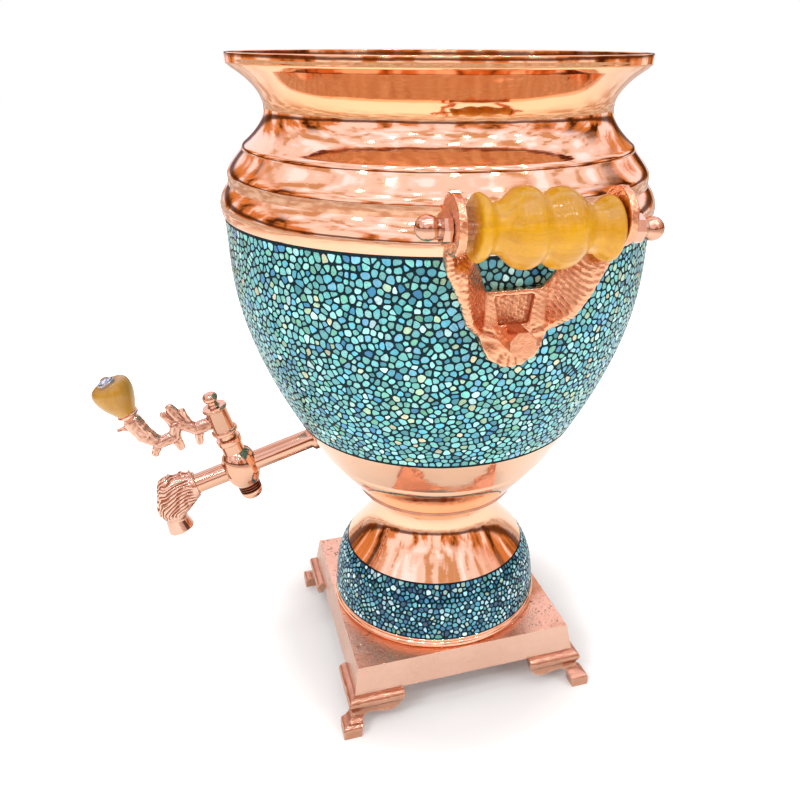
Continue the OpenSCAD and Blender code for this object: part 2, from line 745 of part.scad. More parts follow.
// The bezel is the head of the long screw that holds the knob.
module tap_knob_bezel() {
    color(steel) tap_frame() knob_frame() translate([0, 0, knob_h]) difference() {
        union() {
            spun([[0, 0], [5.6, 0], [5.6, 1.4], [5, 2], [0, 2]]);
            translate([0, 0, 1.4 - knob_h]) cylinder(r = screw_r, h = knob_h - 1);
        }
        translate([0, 0, 0.8]) cylinder(r = 4.3, h = 3, $fn = 8);
    }
}

module tap_knob_jewel() {
    color("#dfe8f2") tap_frame() knob_frame() translate([0, 0, knob_h + 0.8]) {
        cylinder(r = 4.3, h = 1.3, $fn = 8);
        translate([0, 0, 1.3]) cylinder(r1 = 4.3, r2 = 2.4, h = 1.9, $fn = 8);
    }
}

// ---- Handles: +X runs out from the urn along the bolt, +Y along the grip, +Z up ----

// side is 1 for the handle on +X and -1 for the one on -X.
module handle_frame(side) {
    rotate([0, 0, side > 0 ? near_turn : 180]) translate([0, 0, bolt_z]) children();
}

module bolt_hole() {
    translate([nut_seat_x - 24, 0, 0]) rotate([0, 90, 0]) cylinder(r = bolt_r + running_gap, h = 60);
}

// The rod's frame: +Z runs along the rod towards the bracket's +Y end, from the middle of the grip.
module rod_frame(side) {
    handle_frame(side) translate([handle_reach, 0, ear_rise])
        translate(side > 0 ? [0, near_shift, -near_drop] : [0, 0, 0])
        rotate([side > 0 ? -near_skew : 0, 0, 0]) rotate([-90, 0, 0]) children();
}

module on_ear(y) {
    translate([handle_reach, y, ear_rise]) rotate([-90, 0, 0]) children();
}

module bracket_hub() {
    back_x = hub_x - 15;
    half = [[hub_w, 24.8], [hub_w, 9], [hub_w - 2.5, -3], [hub_w - 7, -11.5], [7, -16], [0, -17.4]];
    shield = concat(half, [for (p = backwards(half)) [-p[0], p[1]]]);
    panel = [[-11, 22], [11, 22], [8, 6.5], [-8, 6.5]];
    difference() {
        translate([back_x, 0, 0]) rotate([90, 0, 90]) linear_extrude(hub_x - back_x) polygon(shield);
        translate([hub_x - 3, 0, 0]) rotate([90, 0, 90]) linear_extrude(4) polygon(panel);
    }
}

// One leaf arm, as a twisted strap from the hub to the ear, in three lengths.
module bracket_arm(side) {
    hub = [hub_x, hub_w, 0];
    ear = [handle_reach, ear_y, ear_rise];
    middle = (hub + ear) / 2;
    root = [hub + [-2.5, -3, 23.5], hub + [-1.5, -1, 4], hub + [3, 2, 31.5], hub + [9, 7, 13]];
    crook = [middle + [-5.5, -3.8, 7.8], middle + [3, 2.7, -6.7]];
    bend = [ear + [-13, -9.6, -19.4], ear + [-8, -5, -25.4]];
    heel = [ear + [-13, 0.9, -18.9], ear + [-8, 0.9, -23.4]];
    tip = [ear + [-9, 2.1, -9.4], ear + [-7, 2.1, -15.4]];
    for (strap = [concat(root, crook), concat(crook, bend, heel), concat(heel, tip)])
        hull() for (p = strap) translate([p[0], side * p[1], p[2]])
            sphere(r = p[2] > ear_rise - 17 ? ear_t / 2 - 0.1 : 2.6, $fn = 16);
}

module handle_bracket(side) {
    color(cast_copper) difference() {
        union() {
            difference() {
                handle_frame(side) bracket_hub();
                urn_outside();
            }
            handle_frame(side) {
                bracket_arm(1);
                bracket_arm(-1);
                for (y = [ear_y, -ear_y - ear_t]) on_ear(y) cylinder(r = ear_r, h = ear_t);
            }
        }
        handle_frame(side) bolt_hole();
        rod_frame(side) cylinder(r = rod_r + running_gap, h = 2 * rod_end + 12, center = true);
    }
}

module handle_bolt(side) {
    head_r = 7.6;
    head_l = 14;
    color(cast_copper) handle_frame(side) {
        translate([hub_x, 0, 0]) rotate([0, 90, 0]) rotate([0, 0, 22.5])
            cylinder(r = head_r, h = head_l, $fn = 8);
        translate([nut_seat_x - 7, 0, 0]) rotate([0, 90, 0])
            cylinder(r = bolt_r, h = hub_x - nut_seat_x + 7);
    }
}

// The gasket's outer face is a cone that lies on the urn's inner wall.
module handle_gasket(side) {
    low = bolt_z - 12;
    high = bolt_z + 12;
    color(rubber) intersection() {
        handle_frame(side) translate([nut_seat_x, 0, 0]) rotate([0, 90, 0]) difference() {
            cylinder(r = 9, h = 8);
            translate([0, 0, -1]) cylinder(r = bolt_r + running_gap, h = 10);
        }
        translate([0, 0, low]) cylinder(r1 = radius_at(body_back, low) - 0.1,
            r2 = radius_at(body_back, high) - 0.1, h = high - low, $fn = 360);
    }
}

module handle_nut(side) {
    nut_h = 5;
    color(copper) handle_frame(side) translate([nut_seat_x - nut_h, 0, 0]) rotate([0, 90, 0])
        difference() {
            cylinder(r = 8, h = nut_h, $fn = 6);
            translate([0, 0, -1]) cylinder(r = bolt_r + running_gap, h = nut_h + 2);
        }
}

// A ball on a short neck over an eight-sided collar that starts at z and is l long.
module ball_end(z, l) {
    ball_z = ear_y + 17.2;
    translate([0, 0, z]) cylinder(r = 7.3, h = l, $fn = 8);
    translate([0, 0, z + l - 0.5]) cylinder(r = 4.4, h = ball_z - z - l);
    translate([0, 0, ball_z]) sphere(r = 6);
}

// The rod has a ball head at its +Y end, and a ball nut on its thread at the -Y end.
module handle_rod(side) {
    collar_z = ear_y + ear_t - (side > 0 ? near_shift - collar_gap : 0);
    color(copper) rod_frame(side) {
        translate([0, 0, -rod_end]) cylinder(r = rod_r, h = rod_end + collar_z + 1);
        ball_end(collar_z, side > 0 ? 8 : 6);
    }
}

module handle_ball_nut(side) {
    collar_z = ear_y + ear_t + (side > 0 ? near_shift + collar_gap : 0);
    color(copper) rod_frame(side) mirror([0, 0, 1]) difference() {
        ball_end(collar_z, side > 0 ? 4 : 6);
        translate([0, 0, ear_y + 1.4]) cylinder(r = rod_r + running_gap, h = rod_end - ear_y - 1.2);
    }
}

module handle_grip(side) {
    end = grip_l / 2;
    half = concat([[13.4, end], [15, end - 1], [15.8, end - 2.6]],
        tail(curve([15.8, end - 2.6], [15.2, end - 7], [11.9, 0.8 * end], [12, 0.68 * end], 7)),
        tail(curve([12, 0.68 * end], [12.1, 0.51 * end], [19.1, 0.49 * end], [19.1, 0.25 * end], 10)),
        tail(curve([19.1, 0.25 * end], [19.1, 0.11 * end], [16.6, 0.09 * end], [16.1, 0], 6)));
    rod_hole_r = rod_r + running_gap;
    color(wood) rod_frame(side) spun(concat([[rod_hole_r, end]], half,
        tail(backwards(mirrored(half))), [[rod_hole_r, -end]]));
}

module handle_bracket_right() { handle_bracket(1); }
module handle_bolt_right() { handle_bolt(1); }
module handle_gasket_right() { handle_gasket(1); }
module handle_nut_right() { handle_nut(1); }
module handle_rod_right() { handle_rod(1); }
module handle_grip_right() { handle_grip(1); }
module handle_ball_nut_right() { handle_ball_nut(1); }
module handle_bracket_left() { handle_bracket(-1); }
module handle_bolt_left() { handle_bolt(-1); }
module handle_gasket_left() { handle_gasket(-1); }
module handle_nut_left() { handle_nut(-1); }
module handle_rod_left() { handle_rod(-1); }
module handle_grip_left() { handle_grip(-1); }
module handle_ball_nut_left() { handle_ball_nut(-1); }

base_plinth();
foot_front_right();
foot_front_left();
foot_rear_right();
foot_rear_left();
foot_screws();
pedestal_bead_ring();
pedestal_shell();
pedestal_inlay();
pedestal_screws();
waist_collar();
vessel_floor();
fire_tube();
fire_grate();
body_shell();
body_inlay();
shoulder();
gallery();
lid_seat_ring();
lid();
lid_knob_right();
lid_knob_left();
lid_knob_screws();
flue_cap();
flue_cap_knob();
tap_collar();
tap_pipe();
tap_gasket();
tap_lock_nut();
tap_barrel();
tap_outlet_pipe();
tap_spout();
tap_plug();
tap_plug_washer();
tap_plug_nut();
tap_cap_nut();
tap_key_sleeve();
tap_key_finial();
tap_lever();
tap_ferrule();
tap_knob();
tap_knob_bezel();
tap_knob_jewel();
handle_bracket_right();
handle_bolt_right();
handle_gasket_right();
handle_nut_right();
handle_rod_right();
handle_grip_right();
handle_ball_nut_right();
handle_bracket_left();
handle_bolt_left();
handle_gasket_left();
handle_nut_left();
handle_rod_left();
handle_grip_left();
handle_ball_nut_left();
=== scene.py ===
"""The looks of a charcoal samovar: polished rose copper, a turquoise stone mosaic and yellow wood.

Shapes are worked out in millimetres, in the model's own frame, and made in metres.
"""
import math

import bmesh
import bpy
import numpy as np
from mathutils import Matrix


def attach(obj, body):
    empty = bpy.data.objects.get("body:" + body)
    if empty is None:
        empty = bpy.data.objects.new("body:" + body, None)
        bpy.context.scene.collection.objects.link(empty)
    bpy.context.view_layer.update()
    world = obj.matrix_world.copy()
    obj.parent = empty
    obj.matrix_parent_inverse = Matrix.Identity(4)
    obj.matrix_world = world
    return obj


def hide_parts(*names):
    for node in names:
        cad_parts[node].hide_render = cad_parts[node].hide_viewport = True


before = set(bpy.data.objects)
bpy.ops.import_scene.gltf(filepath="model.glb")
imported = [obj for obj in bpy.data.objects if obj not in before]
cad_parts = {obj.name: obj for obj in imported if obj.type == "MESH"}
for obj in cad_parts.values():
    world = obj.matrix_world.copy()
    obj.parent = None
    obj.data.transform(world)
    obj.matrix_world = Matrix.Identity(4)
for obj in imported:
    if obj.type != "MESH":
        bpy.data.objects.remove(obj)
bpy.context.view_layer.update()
TAU = 2 * math.pi
MILLI = 1000  # millimetres in a metre

# ---- Levels and radii of the urn, as the solids have them ----

Z_RING, Z_PEDESTAL, Z_DOME, Z_WAIST, Z_FLOOR, Z_BOWL = 46, 53, 92.4, 127, 141.4, 143.2
Z_STEP, Z_BAND, Z_SHOULDER, Z_NECK, Z_RIM = 175.2, 201.7, 342, 404, 435
RIM_R, NECK_R, TOP_R, BAND_R, STEP_R, FLOOR_R = 127.5, 107.3, 135.3, 98.1, 82.6, 57.2
WAIST_R, DOME_R, PEDESTAL_R = 45, 65.3, 76.2
WALL, INLAY, REACH = 1.8, 2.2, 164.969


# ---- Profiles ----

SAME = 1e-4  # millimetres: points of a profile closer than this are one


def curve(a, b, c, d, n=24):
    """Cubic curve from a to d with handles b and c, as n + 1 points."""
    t = np.linspace(0, 1, n + 1)[:, None]
    s = 1 - t
    leaving = s**3 * np.array(a, float) + 3 * s * s * t * np.array(b)
    return leaving + 3 * s * t * t * np.array(c) + t**3 * np.array(d)


def line(*points):
    """The points as a profile."""
    return np.array(points, float)


def joined(*parts):
    """Profiles end to end, with points that fall on the one before left out."""
    points = np.vstack(parts)
    apart = np.hypot(*np.diff(points, axis=0).T) > SAME
    return points[np.r_[True, apart]]


def inset(points, depth):
    """A profile that runs downwards, moved towards the axis by depth, with its ends kept at their heights."""
    run = np.gradient(points, axis=0)
    run /= np.hypot(*run.T)[:, None]
    moved = points + depth * np.column_stack([run[:, 1], -run[:, 0]])
    for end in (0, -1):
        moved[end] = points[end] - [depth / abs(run[end, 1]), 0]
    return moved


def arc(centre, radius, start, end, n=8):
    """Part of a circle in the profile's plane, from one angle to another in degrees."""
    a = np.radians(np.linspace(start, end, n + 1))
    return np.array(centre) + radius * np.column_stack([np.cos(a), np.sin(a)])


BODY = curve((TOP_R, Z_SHOULDER), (TOP_R - 3.3, 313.94), (TOP_R + 5.9, 280.268), (BAND_R, Z_BAND), 80)
BAND = curve((BAND_R, Z_BAND), (93.5, Z_BAND - 8.3), (88.4, Z_STEP + 9.4), (STEP_R, Z_STEP), 20)
BOWL = curve((78.4, Z_STEP - 4.7), (73, Z_STEP - 13.7), (64.5, Z_BOWL + 9.8), (FLOOR_R, Z_BOWL), 24)
DOME = curve((WAIST_R, Z_WAIST), (WAIST_R, Z_WAIST - 12.5), (57.2, Z_WAIST - 25.2), (DOME_R, Z_DOME), 30)
DRUM = curve((DOME_R, Z_DOME), (75, Z_DOME - 11.9), (74.3, Z_PEDESTAL + 15.6), (PEDESTAL_R, Z_PEDESTAL), 30)
FLARE = curve((RIM_R - 2.9, Z_RIM - 8.4), (RIM_R - 10, Z_RIM - 13), (NECK_R, Z_NECK + 10), (NECK_R, Z_NECK), 32)
SHOULDER = joined(
    curve((NECK_R, Z_NECK), (NECK_R, Z_NECK - 7), (113.5, Z_NECK - 14.5), (119.5, Z_NECK - 19.5), 20),
    curve((119.5, Z_NECK - 19.5), (121, Z_NECK - 20.7), (121.9, Z_NECK - 21.5), (121.9, Z_NECK - 23.5), 8),
    curve((121.9, Z_NECK - 23.5), (125, Z_NECK - 28), (131.5, Z_NECK - 34), (131.5, Z_NECK - 38), 18),
    line((131.2, Z_NECK - 43.8)),
    curve((131.2, Z_NECK - 43.8), (134, Z_NECK - 47), (137, Z_NECK - 51.5), (136.9, Z_NECK - 56.5), 18),
    line((136.2, Z_SHOULDER + 1.4), (TOP_R + 0.3, Z_SHOULDER)))
BODY_BACK = inset(joined(BODY, BAND), INLAY + WALL)


# ---- Frames: 4 x 4 matrices that carry a piece's own millimetres into the model's ----

def shift(x=0, y=0, z=0):
    """A move along the axes."""
    m = np.eye(4)
    m[:3, 3] = x, y, z
    return m


def turn(axis, degrees):
    """A turn about one of the axes 0, 1 or 2 by the right-hand rule."""
    c, s = math.cos(math.radians(degrees)), math.sin(math.radians(degrees))
    i, j = (axis + 1) % 3, (axis + 2) % 3
    m = np.eye(4)
    m[i, i] = m[j, j] = c
    m[j, i], m[i, j] = s, -s
    return m


TAP = shift(0, -139, 170) @ turn(0, 16.5) @ turn(2, -90)
PIPE = TAP @ turn(1, 90)
KNOB = TAP @ shift(50.4, 0, 63.9) @ turn(1, 7)
HANDLE = {1: turn(2, -1) @ shift(0, 0, 300), -1: turn(2, 180) @ shift(0, 0, 300)}
ROD = {1: HANDLE[1] @ shift(REACH, 2.4, 61.7) @ turn(0, -3.4) @ turn(0, -90),
       -1: HANDLE[-1] @ shift(REACH, 0, 65.4) @ turn(0, -90)}
SIDE = {1: "right", -1: "left"}


def placed(points, matrix):
    """The points carried by a frame."""
    return points @ matrix[:3, :3].T + matrix[:3, 3]


def in_frame(points, matrix):
    """The model's millimetres carried back into a piece's own frame."""
    return placed(points, np.linalg.inv(matrix))


# ---- Meshes ----

JOIN = 2e-6  # metres: points of a CAD node closer than this are one
SHARP = 32  # degrees: edges sharper than this stay crisp
FLAT = 1  # degrees: faces that meet at less than this are one flat face


def piece(name, points, faces, finish, body, nodes=(), sharp=SHARP, frame_of=None):
    """A mesh of its own from points in millimetres. Edges sharper than sharp degrees stay crisp."""
    mesh = bpy.data.meshes.new(name)
    if frame_of is not None:
        points = placed(points, frame_of)
    mesh.from_pydata((points / MILLI).tolist(), [], faces)
    return dressed(bpy.data.objects.new(name, mesh), finish, body, nodes, sharp)


def dressed(obj, finish, body, nodes=(), sharp=SHARP):
    """Smooths an object's shading, gives it its finish and hangs it on its body."""
    mesh = obj.data
    mesh.polygons.foreach_set("use_smooth", np.ones(len(mesh.polygons), bool))
    if sharp:
        mesh.set_sharp_from_angle(angle=math.radians(sharp))
    if obj.name not in bpy.context.scene.collection.objects:
        bpy.context.scene.collection.objects.link(obj)
    mesh.materials.clear()
    mesh.materials.append(finish)
    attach(obj, body)
    if nodes:
        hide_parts(*nodes)
    return obj


def ring_faces(rows, steps, poles=()):
    """Quads round a closed loop of rows that each go round in steps. Rows in poles shrink to one point."""
    i, j = np.meshgrid(np.arange(rows), np.arange(steps), indexing="ij")

    def at(row, step):
        """A corner's place in the list of points."""
        row = row % rows
        return row * steps + np.where(np.isin(row, list(poles)), 0, step % steps)

    quads = np.stack([at(i, j), at(i, j + 1), at(i + 1, j + 1), at(i + 1, j)], -1).reshape(-1, 4)
    faces = []
    for quad in quads.tolist():
        kept = list(dict.fromkeys(quad))
        if len(kept) > 2:
            faces.append(kept)
    return faces


def turned(name, outline, finish, body, nodes=(), slot=None, steps=256, frame_of=None, sharp=SHARP):
    """A lathe piece: the closed outline of (radius, height) is carried round the axis."""
    r, z = outline.T
    if np.sum(r * np.roll(z, -1) - np.roll(r, -1) * z) < 0:
        r, z = r[::-1], z[::-1]
    a = np.arange(steps) * TAU / steps
    points = np.stack([r[:, None] * np.cos(a), r[:, None] * np.sin(a), np.repeat(z[:, None], steps, 1)], -1)
    on_axis = np.flatnonzero(np.abs(r) < SAME)
    faces = ring_faces(len(r), steps, on_axis)
    obj = piece(name, points.reshape(-1, 3), faces, finish, body, nodes, sharp, frame_of)
    loose = bmesh.new()
    loose.from_mesh(obj.data)
    bmesh.ops.delete(loose, geom=[v for v in loose.verts if not v.link_faces], context="VERTS")
    loose.to_mesh(obj.data)
    loose.free()
    return obj


def copy_of(name, node):
    """A CAD node's surface as one joined mesh in an object of its own, without the file's stored normals."""
    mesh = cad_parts[node].data.copy()
    mesh.name = name
    if "custom_normal" in mesh.attributes:
        mesh.attributes.remove(mesh.attributes["custom_normal"])
    whole = bmesh.new()
    whole.from_mesh(mesh)
    bmesh.ops.remove_doubles(whole, verts=whole.verts, dist=JOIN)
    whole.to_mesh(mesh)
    whole.free()
    obj = bpy.data.objects.new(name, mesh)
    bpy.context.scene.collection.objects.link(obj)
    return obj


def smoothed(name, node, finish, body, sharp=30):
    """The node's own shape, with its curved faces shaded as one."""
    return dressed(copy_of(name, node), finish, body, (node,), sharp)


def eased(name, node, finish, body, width=0.7, segments=3):
    """The node's own shape with its sharp edges eased, for flat-faced pieces."""
    obj = copy_of(name, node)
    flat = bmesh.new()
    flat.from_mesh(obj.data)
    bmesh.ops.dissolve_limit(flat, angle_limit=math.radians(FLAT), verts=flat.verts, edges=flat.edges)
    flat.to_mesh(obj.data)
    flat.free()
    dressed(obj, finish, body, (node,), 180)
    bevel = obj.modifiers.new("eased edges", "BEVEL")
    bevel.width, bevel.segments, bevel.limit_method = width / MILLI, segments, "ANGLE"
    bevel.angle_limit = math.radians(SHARP)
    obj.modifiers.new("flat faces", "WEIGHTED_NORMAL").weight = 80
    return obj


def casting(name, node, voxel, finish, body, carve=None, rounds=3):
    """The node's shape as a casting: remeshed evenly, its edges softened, then carved along its normals.

    carve(points, normals) gives each point's height over the softened surface, in millimetres. It is kept in
    the mesh as "relief", which the finish reads to roughen the carved hollows and paint shade into them."""
    obj = copy_of(name, node)
    remesh = obj.modifiers.new("even", "REMESH")
    remesh.mode, remesh.voxel_size = "VOXEL", voxel / MILLI
    soft = obj.modifiers.new("soft", "SMOOTH")
    soft.factor, soft.iterations = 0.5, rounds
    baked = bpy.data.meshes.new_from_object(obj.evaluated_get(bpy.context.evaluated_depsgraph_get()))
    obj.modifiers.clear()
    obj.data = baked
    baked.name = name
    if carve:
        count = len(baked.vertices)
        points, normals = np.empty(count * 3, np.float32), np.empty(count * 3, np.float32)
        baked.vertices.foreach_get("co", points)
        baked.vertices.foreach_get("normal", normals)
        points, normals = points.reshape(-1, 3) * MILLI, normals.reshape(-1, 3)
        height = carve(points, normals)
        relief = baked.attributes.new("relief", "FLOAT", "POINT")
        relief.data.foreach_set("value", height.astype(np.float32))
        points = (points + normals * height[:, None]) / MILLI
        baked.vertices.foreach_set("co", points.astype(np.float32).ravel())
        baked.update()
    return dressed(obj, finish, body, (node,), None)


# ---- Stone mosaic ----

def mosaic(name, profile, size, gap, margin, seed, shades, finish, body, corners=13, settle=3):
    """Flat stones set round a turned surface whose profile runs downwards.

    Seeds in rows are jittered and pushed apart. A stone is its seed's cell among its neighbours. At the angle
    u, with h the half distance to a neighbour in the direction t, its reach is the soft minimum
    (sum of (max(cos(u - t), 0) / h) ** 7) ** (-1 / 7), which rounds the corners. Each stone is a fan at the
    surface and a fan below it, and one shade of colour."""
    row_height, jitter, clear, longest = 0.88, 0.5, 0.36, 1.1  # shares of a stone's size or place in its row
    step = 0.32  # share of an overlap that one push takes away
    grades, joints, chips = (0.74, 1.2), (0.7, 1.7), (0.94, 1.04)  # ranges of sizes, joint widths and rims
    soft, least = 7, 0.3  # power of the soft minimum, and the least half distance
    bulge, pinch = 1.03, 0.09  # stones are longer one way than the other
    dip, top_dip, seat = 0.1, 0.03, 0.6  # rims and tops under the surface, undersides over the bed
    crown, wobble = 0.05, 0.012  # how domed and how uneven their faces look
    brightness, hue = (0.72, 1.26), (0.94, 1.06)
    rng = np.random.default_rng(seed)
    along = np.r_[0, np.cumsum(np.hypot(*np.diff(profile, axis=0).T))]
    run = np.gradient(profile, axis=0)
    run /= np.hypot(*run.T)[:, None]
    length = along[-1]

    def radius(s):
        """The surface's radius at a length along the profile."""
        return np.interp(s, along, profile[:, 0])

    def at(angle, s, depth=0.0):
        """Points on the surface, depth under it, and the surface's outward directions there."""
        out_r, out_z = -np.interp(s, along, run[:, 1]), np.interp(s, along, run[:, 0])
        r, z = radius(s) - depth * out_r, np.interp(s, along, profile[:, 1]) - depth * out_z
        c, d = np.cos(angle), np.sin(angle)
        return np.stack([r * c, r * d, z], -1), np.stack([out_r * c, out_r * d, out_z], -1)

    rows = int(round((length - 2 * margin) / (size * row_height)))
    middle = margin + (np.arange(rows) + 0.5) * (length - 2 * margin) / rows
    per_row = np.round(TAU * radius(middle) / size).astype(int)
    row = np.repeat(np.arange(rows), per_row)
    place = np.arange(len(row)) - np.repeat(np.cumsum(per_row) - per_row, per_row)
    s = middle[row] + rng.uniform(-jitter, jitter, len(row)) * size
    share = rng.uniform(*grades, len(row))
    angle = TAU * (place + 0.5 * (row % 2) + rng.uniform(-jitter, jitter, len(row))) / per_row[row]

    def neighbours(count):
        """Each seed's nearest other seeds."""
        centre = at(angle, s)[0].astype(np.float32)
        square = (centre**2).sum(1)
        found = []
        for block in np.array_split(np.arange(len(s)), 12):
            apart = square[block, None] + square[None] - 2 * centre[block] @ centre.T
            apart[np.arange(len(block)), block] = np.inf
            found.append(np.argpartition(apart, count, axis=1)[:, :count])
        return np.vstack(found), centre.astype(float)

    def tangents():
        """Unit directions round the urn and down its profile, at each seed."""
        round_it = np.stack([-np.sin(angle), np.cos(angle), 0 * angle], -1)
        down = np.interp(s, along, run[:, 0]), np.interp(s, along, run[:, 1])
        return round_it, np.stack([down[0] * np.cos(angle), down[0] * np.sin(angle), down[1]], -1)

    for _ in range(settle):
        near, centre = neighbours(6)
        away = centre[:, None] - centre[near]
        dist = np.linalg.norm(away, axis=2)
        room = size * (share[:, None] + share[near]) / 2
        push = (away / dist[..., None] * np.maximum(0, room - dist)[..., None]).sum(1) * step
        round_it, down = tangents()
        angle = angle + (push * round_it).sum(1) / radius(s)
        s = np.clip(s + (push * down).sum(1), margin + clear * size, length - margin - clear * size)

    near, centre = neighbours(13)
    away = centre[near] - centre[:, None]
    round_it, down = tangents()
    a, b = (away * round_it[:, None]).sum(2), (away * down[:, None]).sum(2)
    half = np.hypot(a, b) * share[:, None] / (share[:, None] + share[near])
    half = half - gap / 2 * rng.uniform(*joints, (len(s), 1))
    toward = np.arctan2(b, a)
    half = np.maximum(np.column_stack([half, length - margin - s, s - margin]), least)
    toward = np.column_stack([toward, np.full(len(s), TAU / 4), np.full(len(s), -TAU / 4)])
    spin = np.arange(corners) * TAU / corners + rng.uniform(0, 1, (len(s), 1))
    facing = np.maximum(np.cos(spin[..., None] - toward[:, None]), 0) / half[:, None]
    reach = (facing**soft).sum(2) ** (-1 / soft) * rng.uniform(*chips, (len(s), corners))
    reach *= bulge - pinch * np.cos(spin - rng.uniform(0, TAU, (len(s), 1))) ** 4
    reach = np.minimum(reach, size * longest)
    rim_s = s[:, None] + reach * np.sin(spin)
    rim_angle = angle[:, None] + reach * np.cos(spin) / radius(s)[:, None]

    rim, rim_out = at(rim_angle, rim_s, dip)
    top, top_out = at(angle, s, top_dip)
    low, low_out = at(angle, s, INLAY - seat)
    points = np.concatenate([rim, top[:, None], low[:, None]], 1)
    count = corners + 2
    first = (np.arange(len(s)) * count)[:, None, None]
    k = np.arange(corners)
    fan = np.stack([k, (k + 1) % corners], 1)
    # Angles rise from round_it towards down, which is clockwise as seen from outside.
    upper = np.column_stack([fan[:, ::-1], np.full(corners, corners)])
    lower = np.column_stack([fan, np.full(corners, corners + 1)])
    faces = (first + np.vstack([upper, lower])).reshape(-1, 3)

    mesh = bpy.data.meshes.new(name)
    mesh.from_pydata((points.reshape(-1, 3) / MILLI).tolist(), [], faces.tolist())
    tilt = rng.normal(0, wobble, (len(s), 1, 3))
    crowned = rim_out + crown * (rim - top[:, None]) / size
    outward = np.concatenate([crowned, top_out[:, None], -low_out[:, None]], 1) + tilt
    outward /= np.linalg.norm(outward, axis=2)[..., None]
    weights = np.array([shade[0] for shade in shades], float)
    pick = rng.choice(len(shades), len(s), p=weights / weights.sum())
    tint = np.array([shade[1] for shade in shades])[pick] * rng.uniform(*brightness, (len(s), 1))
    tint = tint * rng.uniform(*hue, (len(s), 3))
    colour = mesh.color_attributes.new("tint", "FLOAT_COLOR", "POINT")
    rgba = np.ones((len(s), count, 4), np.float32)
    rgba[..., :3] = np.clip(tint, 0, 1)[:, None]
    colour.data.foreach_set("color", rgba.ravel())
    obj = dressed(bpy.data.objects.new(name, mesh), finish, body, (), None)
    mesh.normals_split_custom_set_from_vertices(outward.reshape(-1, 3).tolist())
    return obj


# ---- Shader expressions ----

class Value:
    """A number, colour or vector that varies over a surface. The operators add Math nodes for numbers."""

    def __init__(self, shader, socket):
        self.shader, self.socket = shader, socket

    def maths(self, operation, *others):
        """A Math node on this value and the others."""
        inputs = dict(enumerate((self,) + others))
        return self.shader.node("ShaderNodeMath", {"operation": operation}, inputs)

    def __add__(self, other):
        return self.maths("ADD", other)

    __radd__ = __add__

    def __mul__(self, other):
        return self.maths("MULTIPLY", other)

    __rmul__ = __mul__

    def __sub__(self, other):
        return self.maths("SUBTRACT", other)

    def __rsub__(self, other):
        return self.maths("MULTIPLY", -1.0).maths("ADD", other)

    def kept(self):
        """The value held between 0 and 1."""
        return self.shader.node("ShaderNodeClamp", {}, {0: self})

    def between(self, low, high):
        """0 below low, 1 above high, and a smooth rise between."""
        return self.shader.node("ShaderNodeMapRange", {"interpolation_type": "SMOOTHSTEP"},
                                {"Value": self, "From Min": low, "From Max": high})


class Nodes:
    """A node tree, emptied, and the ways in which nodes are added to it."""

    def __init__(self, tree):
        self.tree = tree
        self.tree.nodes.clear()

    def node(self, kind, settings=None, inputs=None, out=0):
        """Adds a node of a type, with its settings first, then the values or links of its sockets."""
        made = self.tree.nodes.new(kind)
        for key, value in (settings or {}).items():
            setattr(made, key, value)
        for key, value in (inputs or {}).items():
            if isinstance(value, Value):
                self.tree.links.new(value.socket, made.inputs[key])
            else:
                made.inputs[key].default_value = value
        return Value(self, made.outputs[out]) if made.outputs else None

    def rays(self, kind):
        """1 for one kind of ray, 0 for the others."""
        return self.node("ShaderNodeLightPath", out=kind)

    def along(self, axis, vector=None):
        """One coordinate, of the place on the object if no vector is given."""
        return self.node("ShaderNodeSeparateXYZ", {}, {0: vector or self.here()}, out=axis)

    def here(self, scale=(1, 1, 1), rotation=(0, 0, 0), location=(0, 0, 0)):
        """Object coordinates, scaled, turned and moved."""
        place = self.node("ShaderNodeTexCoord", out="Object")
        return self.moved(place, scale, rotation, location)

    def moved(self, vector, scale=(1, 1, 1), rotation=(0, 0, 0), location=(0, 0, 0)):
        """A vector scaled, turned and moved."""
        return self.node("ShaderNodeMapping", {}, {"Vector": vector, "Scale": scale, "Rotation": rotation,
                                                   "Location": location})

    def noise(self, scale, detail=3.0, where=None, rough=0.5, distortion=0.0):
        """Cloudy noise from 0 to 1, with its scale in waves to a metre."""
        return self.node("ShaderNodeTexNoise", {}, {
            "Vector": where or self.here(), "Scale": scale, "Detail": detail, "Roughness": rough,
            "Distortion": distortion})

    def pointiness(self):
        """Under 0.5 in crevices and over it on edges."""
        return self.node("ShaderNodeNewGeometry", out="Pointiness")

    def mixed(self, factor, first, second, blend="MIX"):
        """Mixes two colours."""
        return self.node("ShaderNodeMix", {"data_type": "RGBA", "blend_type": blend},
                         {0: factor, 6: first if isinstance(first, Value) else (*first, 1),
                          7: second if isinstance(second, Value) else (*second, 1)}, out=2)

    def bump(self, height, depth, strength=1.0, normal=None):
        """A surface normal that leans with a height map. depth is the height of 1, in metres."""
        inputs = {"Height": height, "Distance": depth, "Strength": strength}
        if normal:
            inputs["Normal"] = normal
        return self.node("ShaderNodeBump", {}, inputs)


class Finish(Nodes):
    """A material's nodes."""

    def __init__(self, name):
        self.material = bpy.data.materials.new(name)
        self.material.use_nodes = True
        super().__init__(self.material.node_tree)

    def shown(self, surface):
        """The material, with this surface."""
        self.node("ShaderNodeOutputMaterial", {}, {"Surface": surface})
        return self.material

    def done(self, **sockets):
        """The material, by its shader's socket names, with _ for a blank."""
        inputs = {key.replace("_", " "): value for key, value in sockets.items()}
        return self.shown(self.node("ShaderNodeBsdfPrincipled", {}, inputs))


def toned(tone, factors):
    """A colour with its parts multiplied."""
    return tuple(part * factor for part, factor in zip(tone, factors))


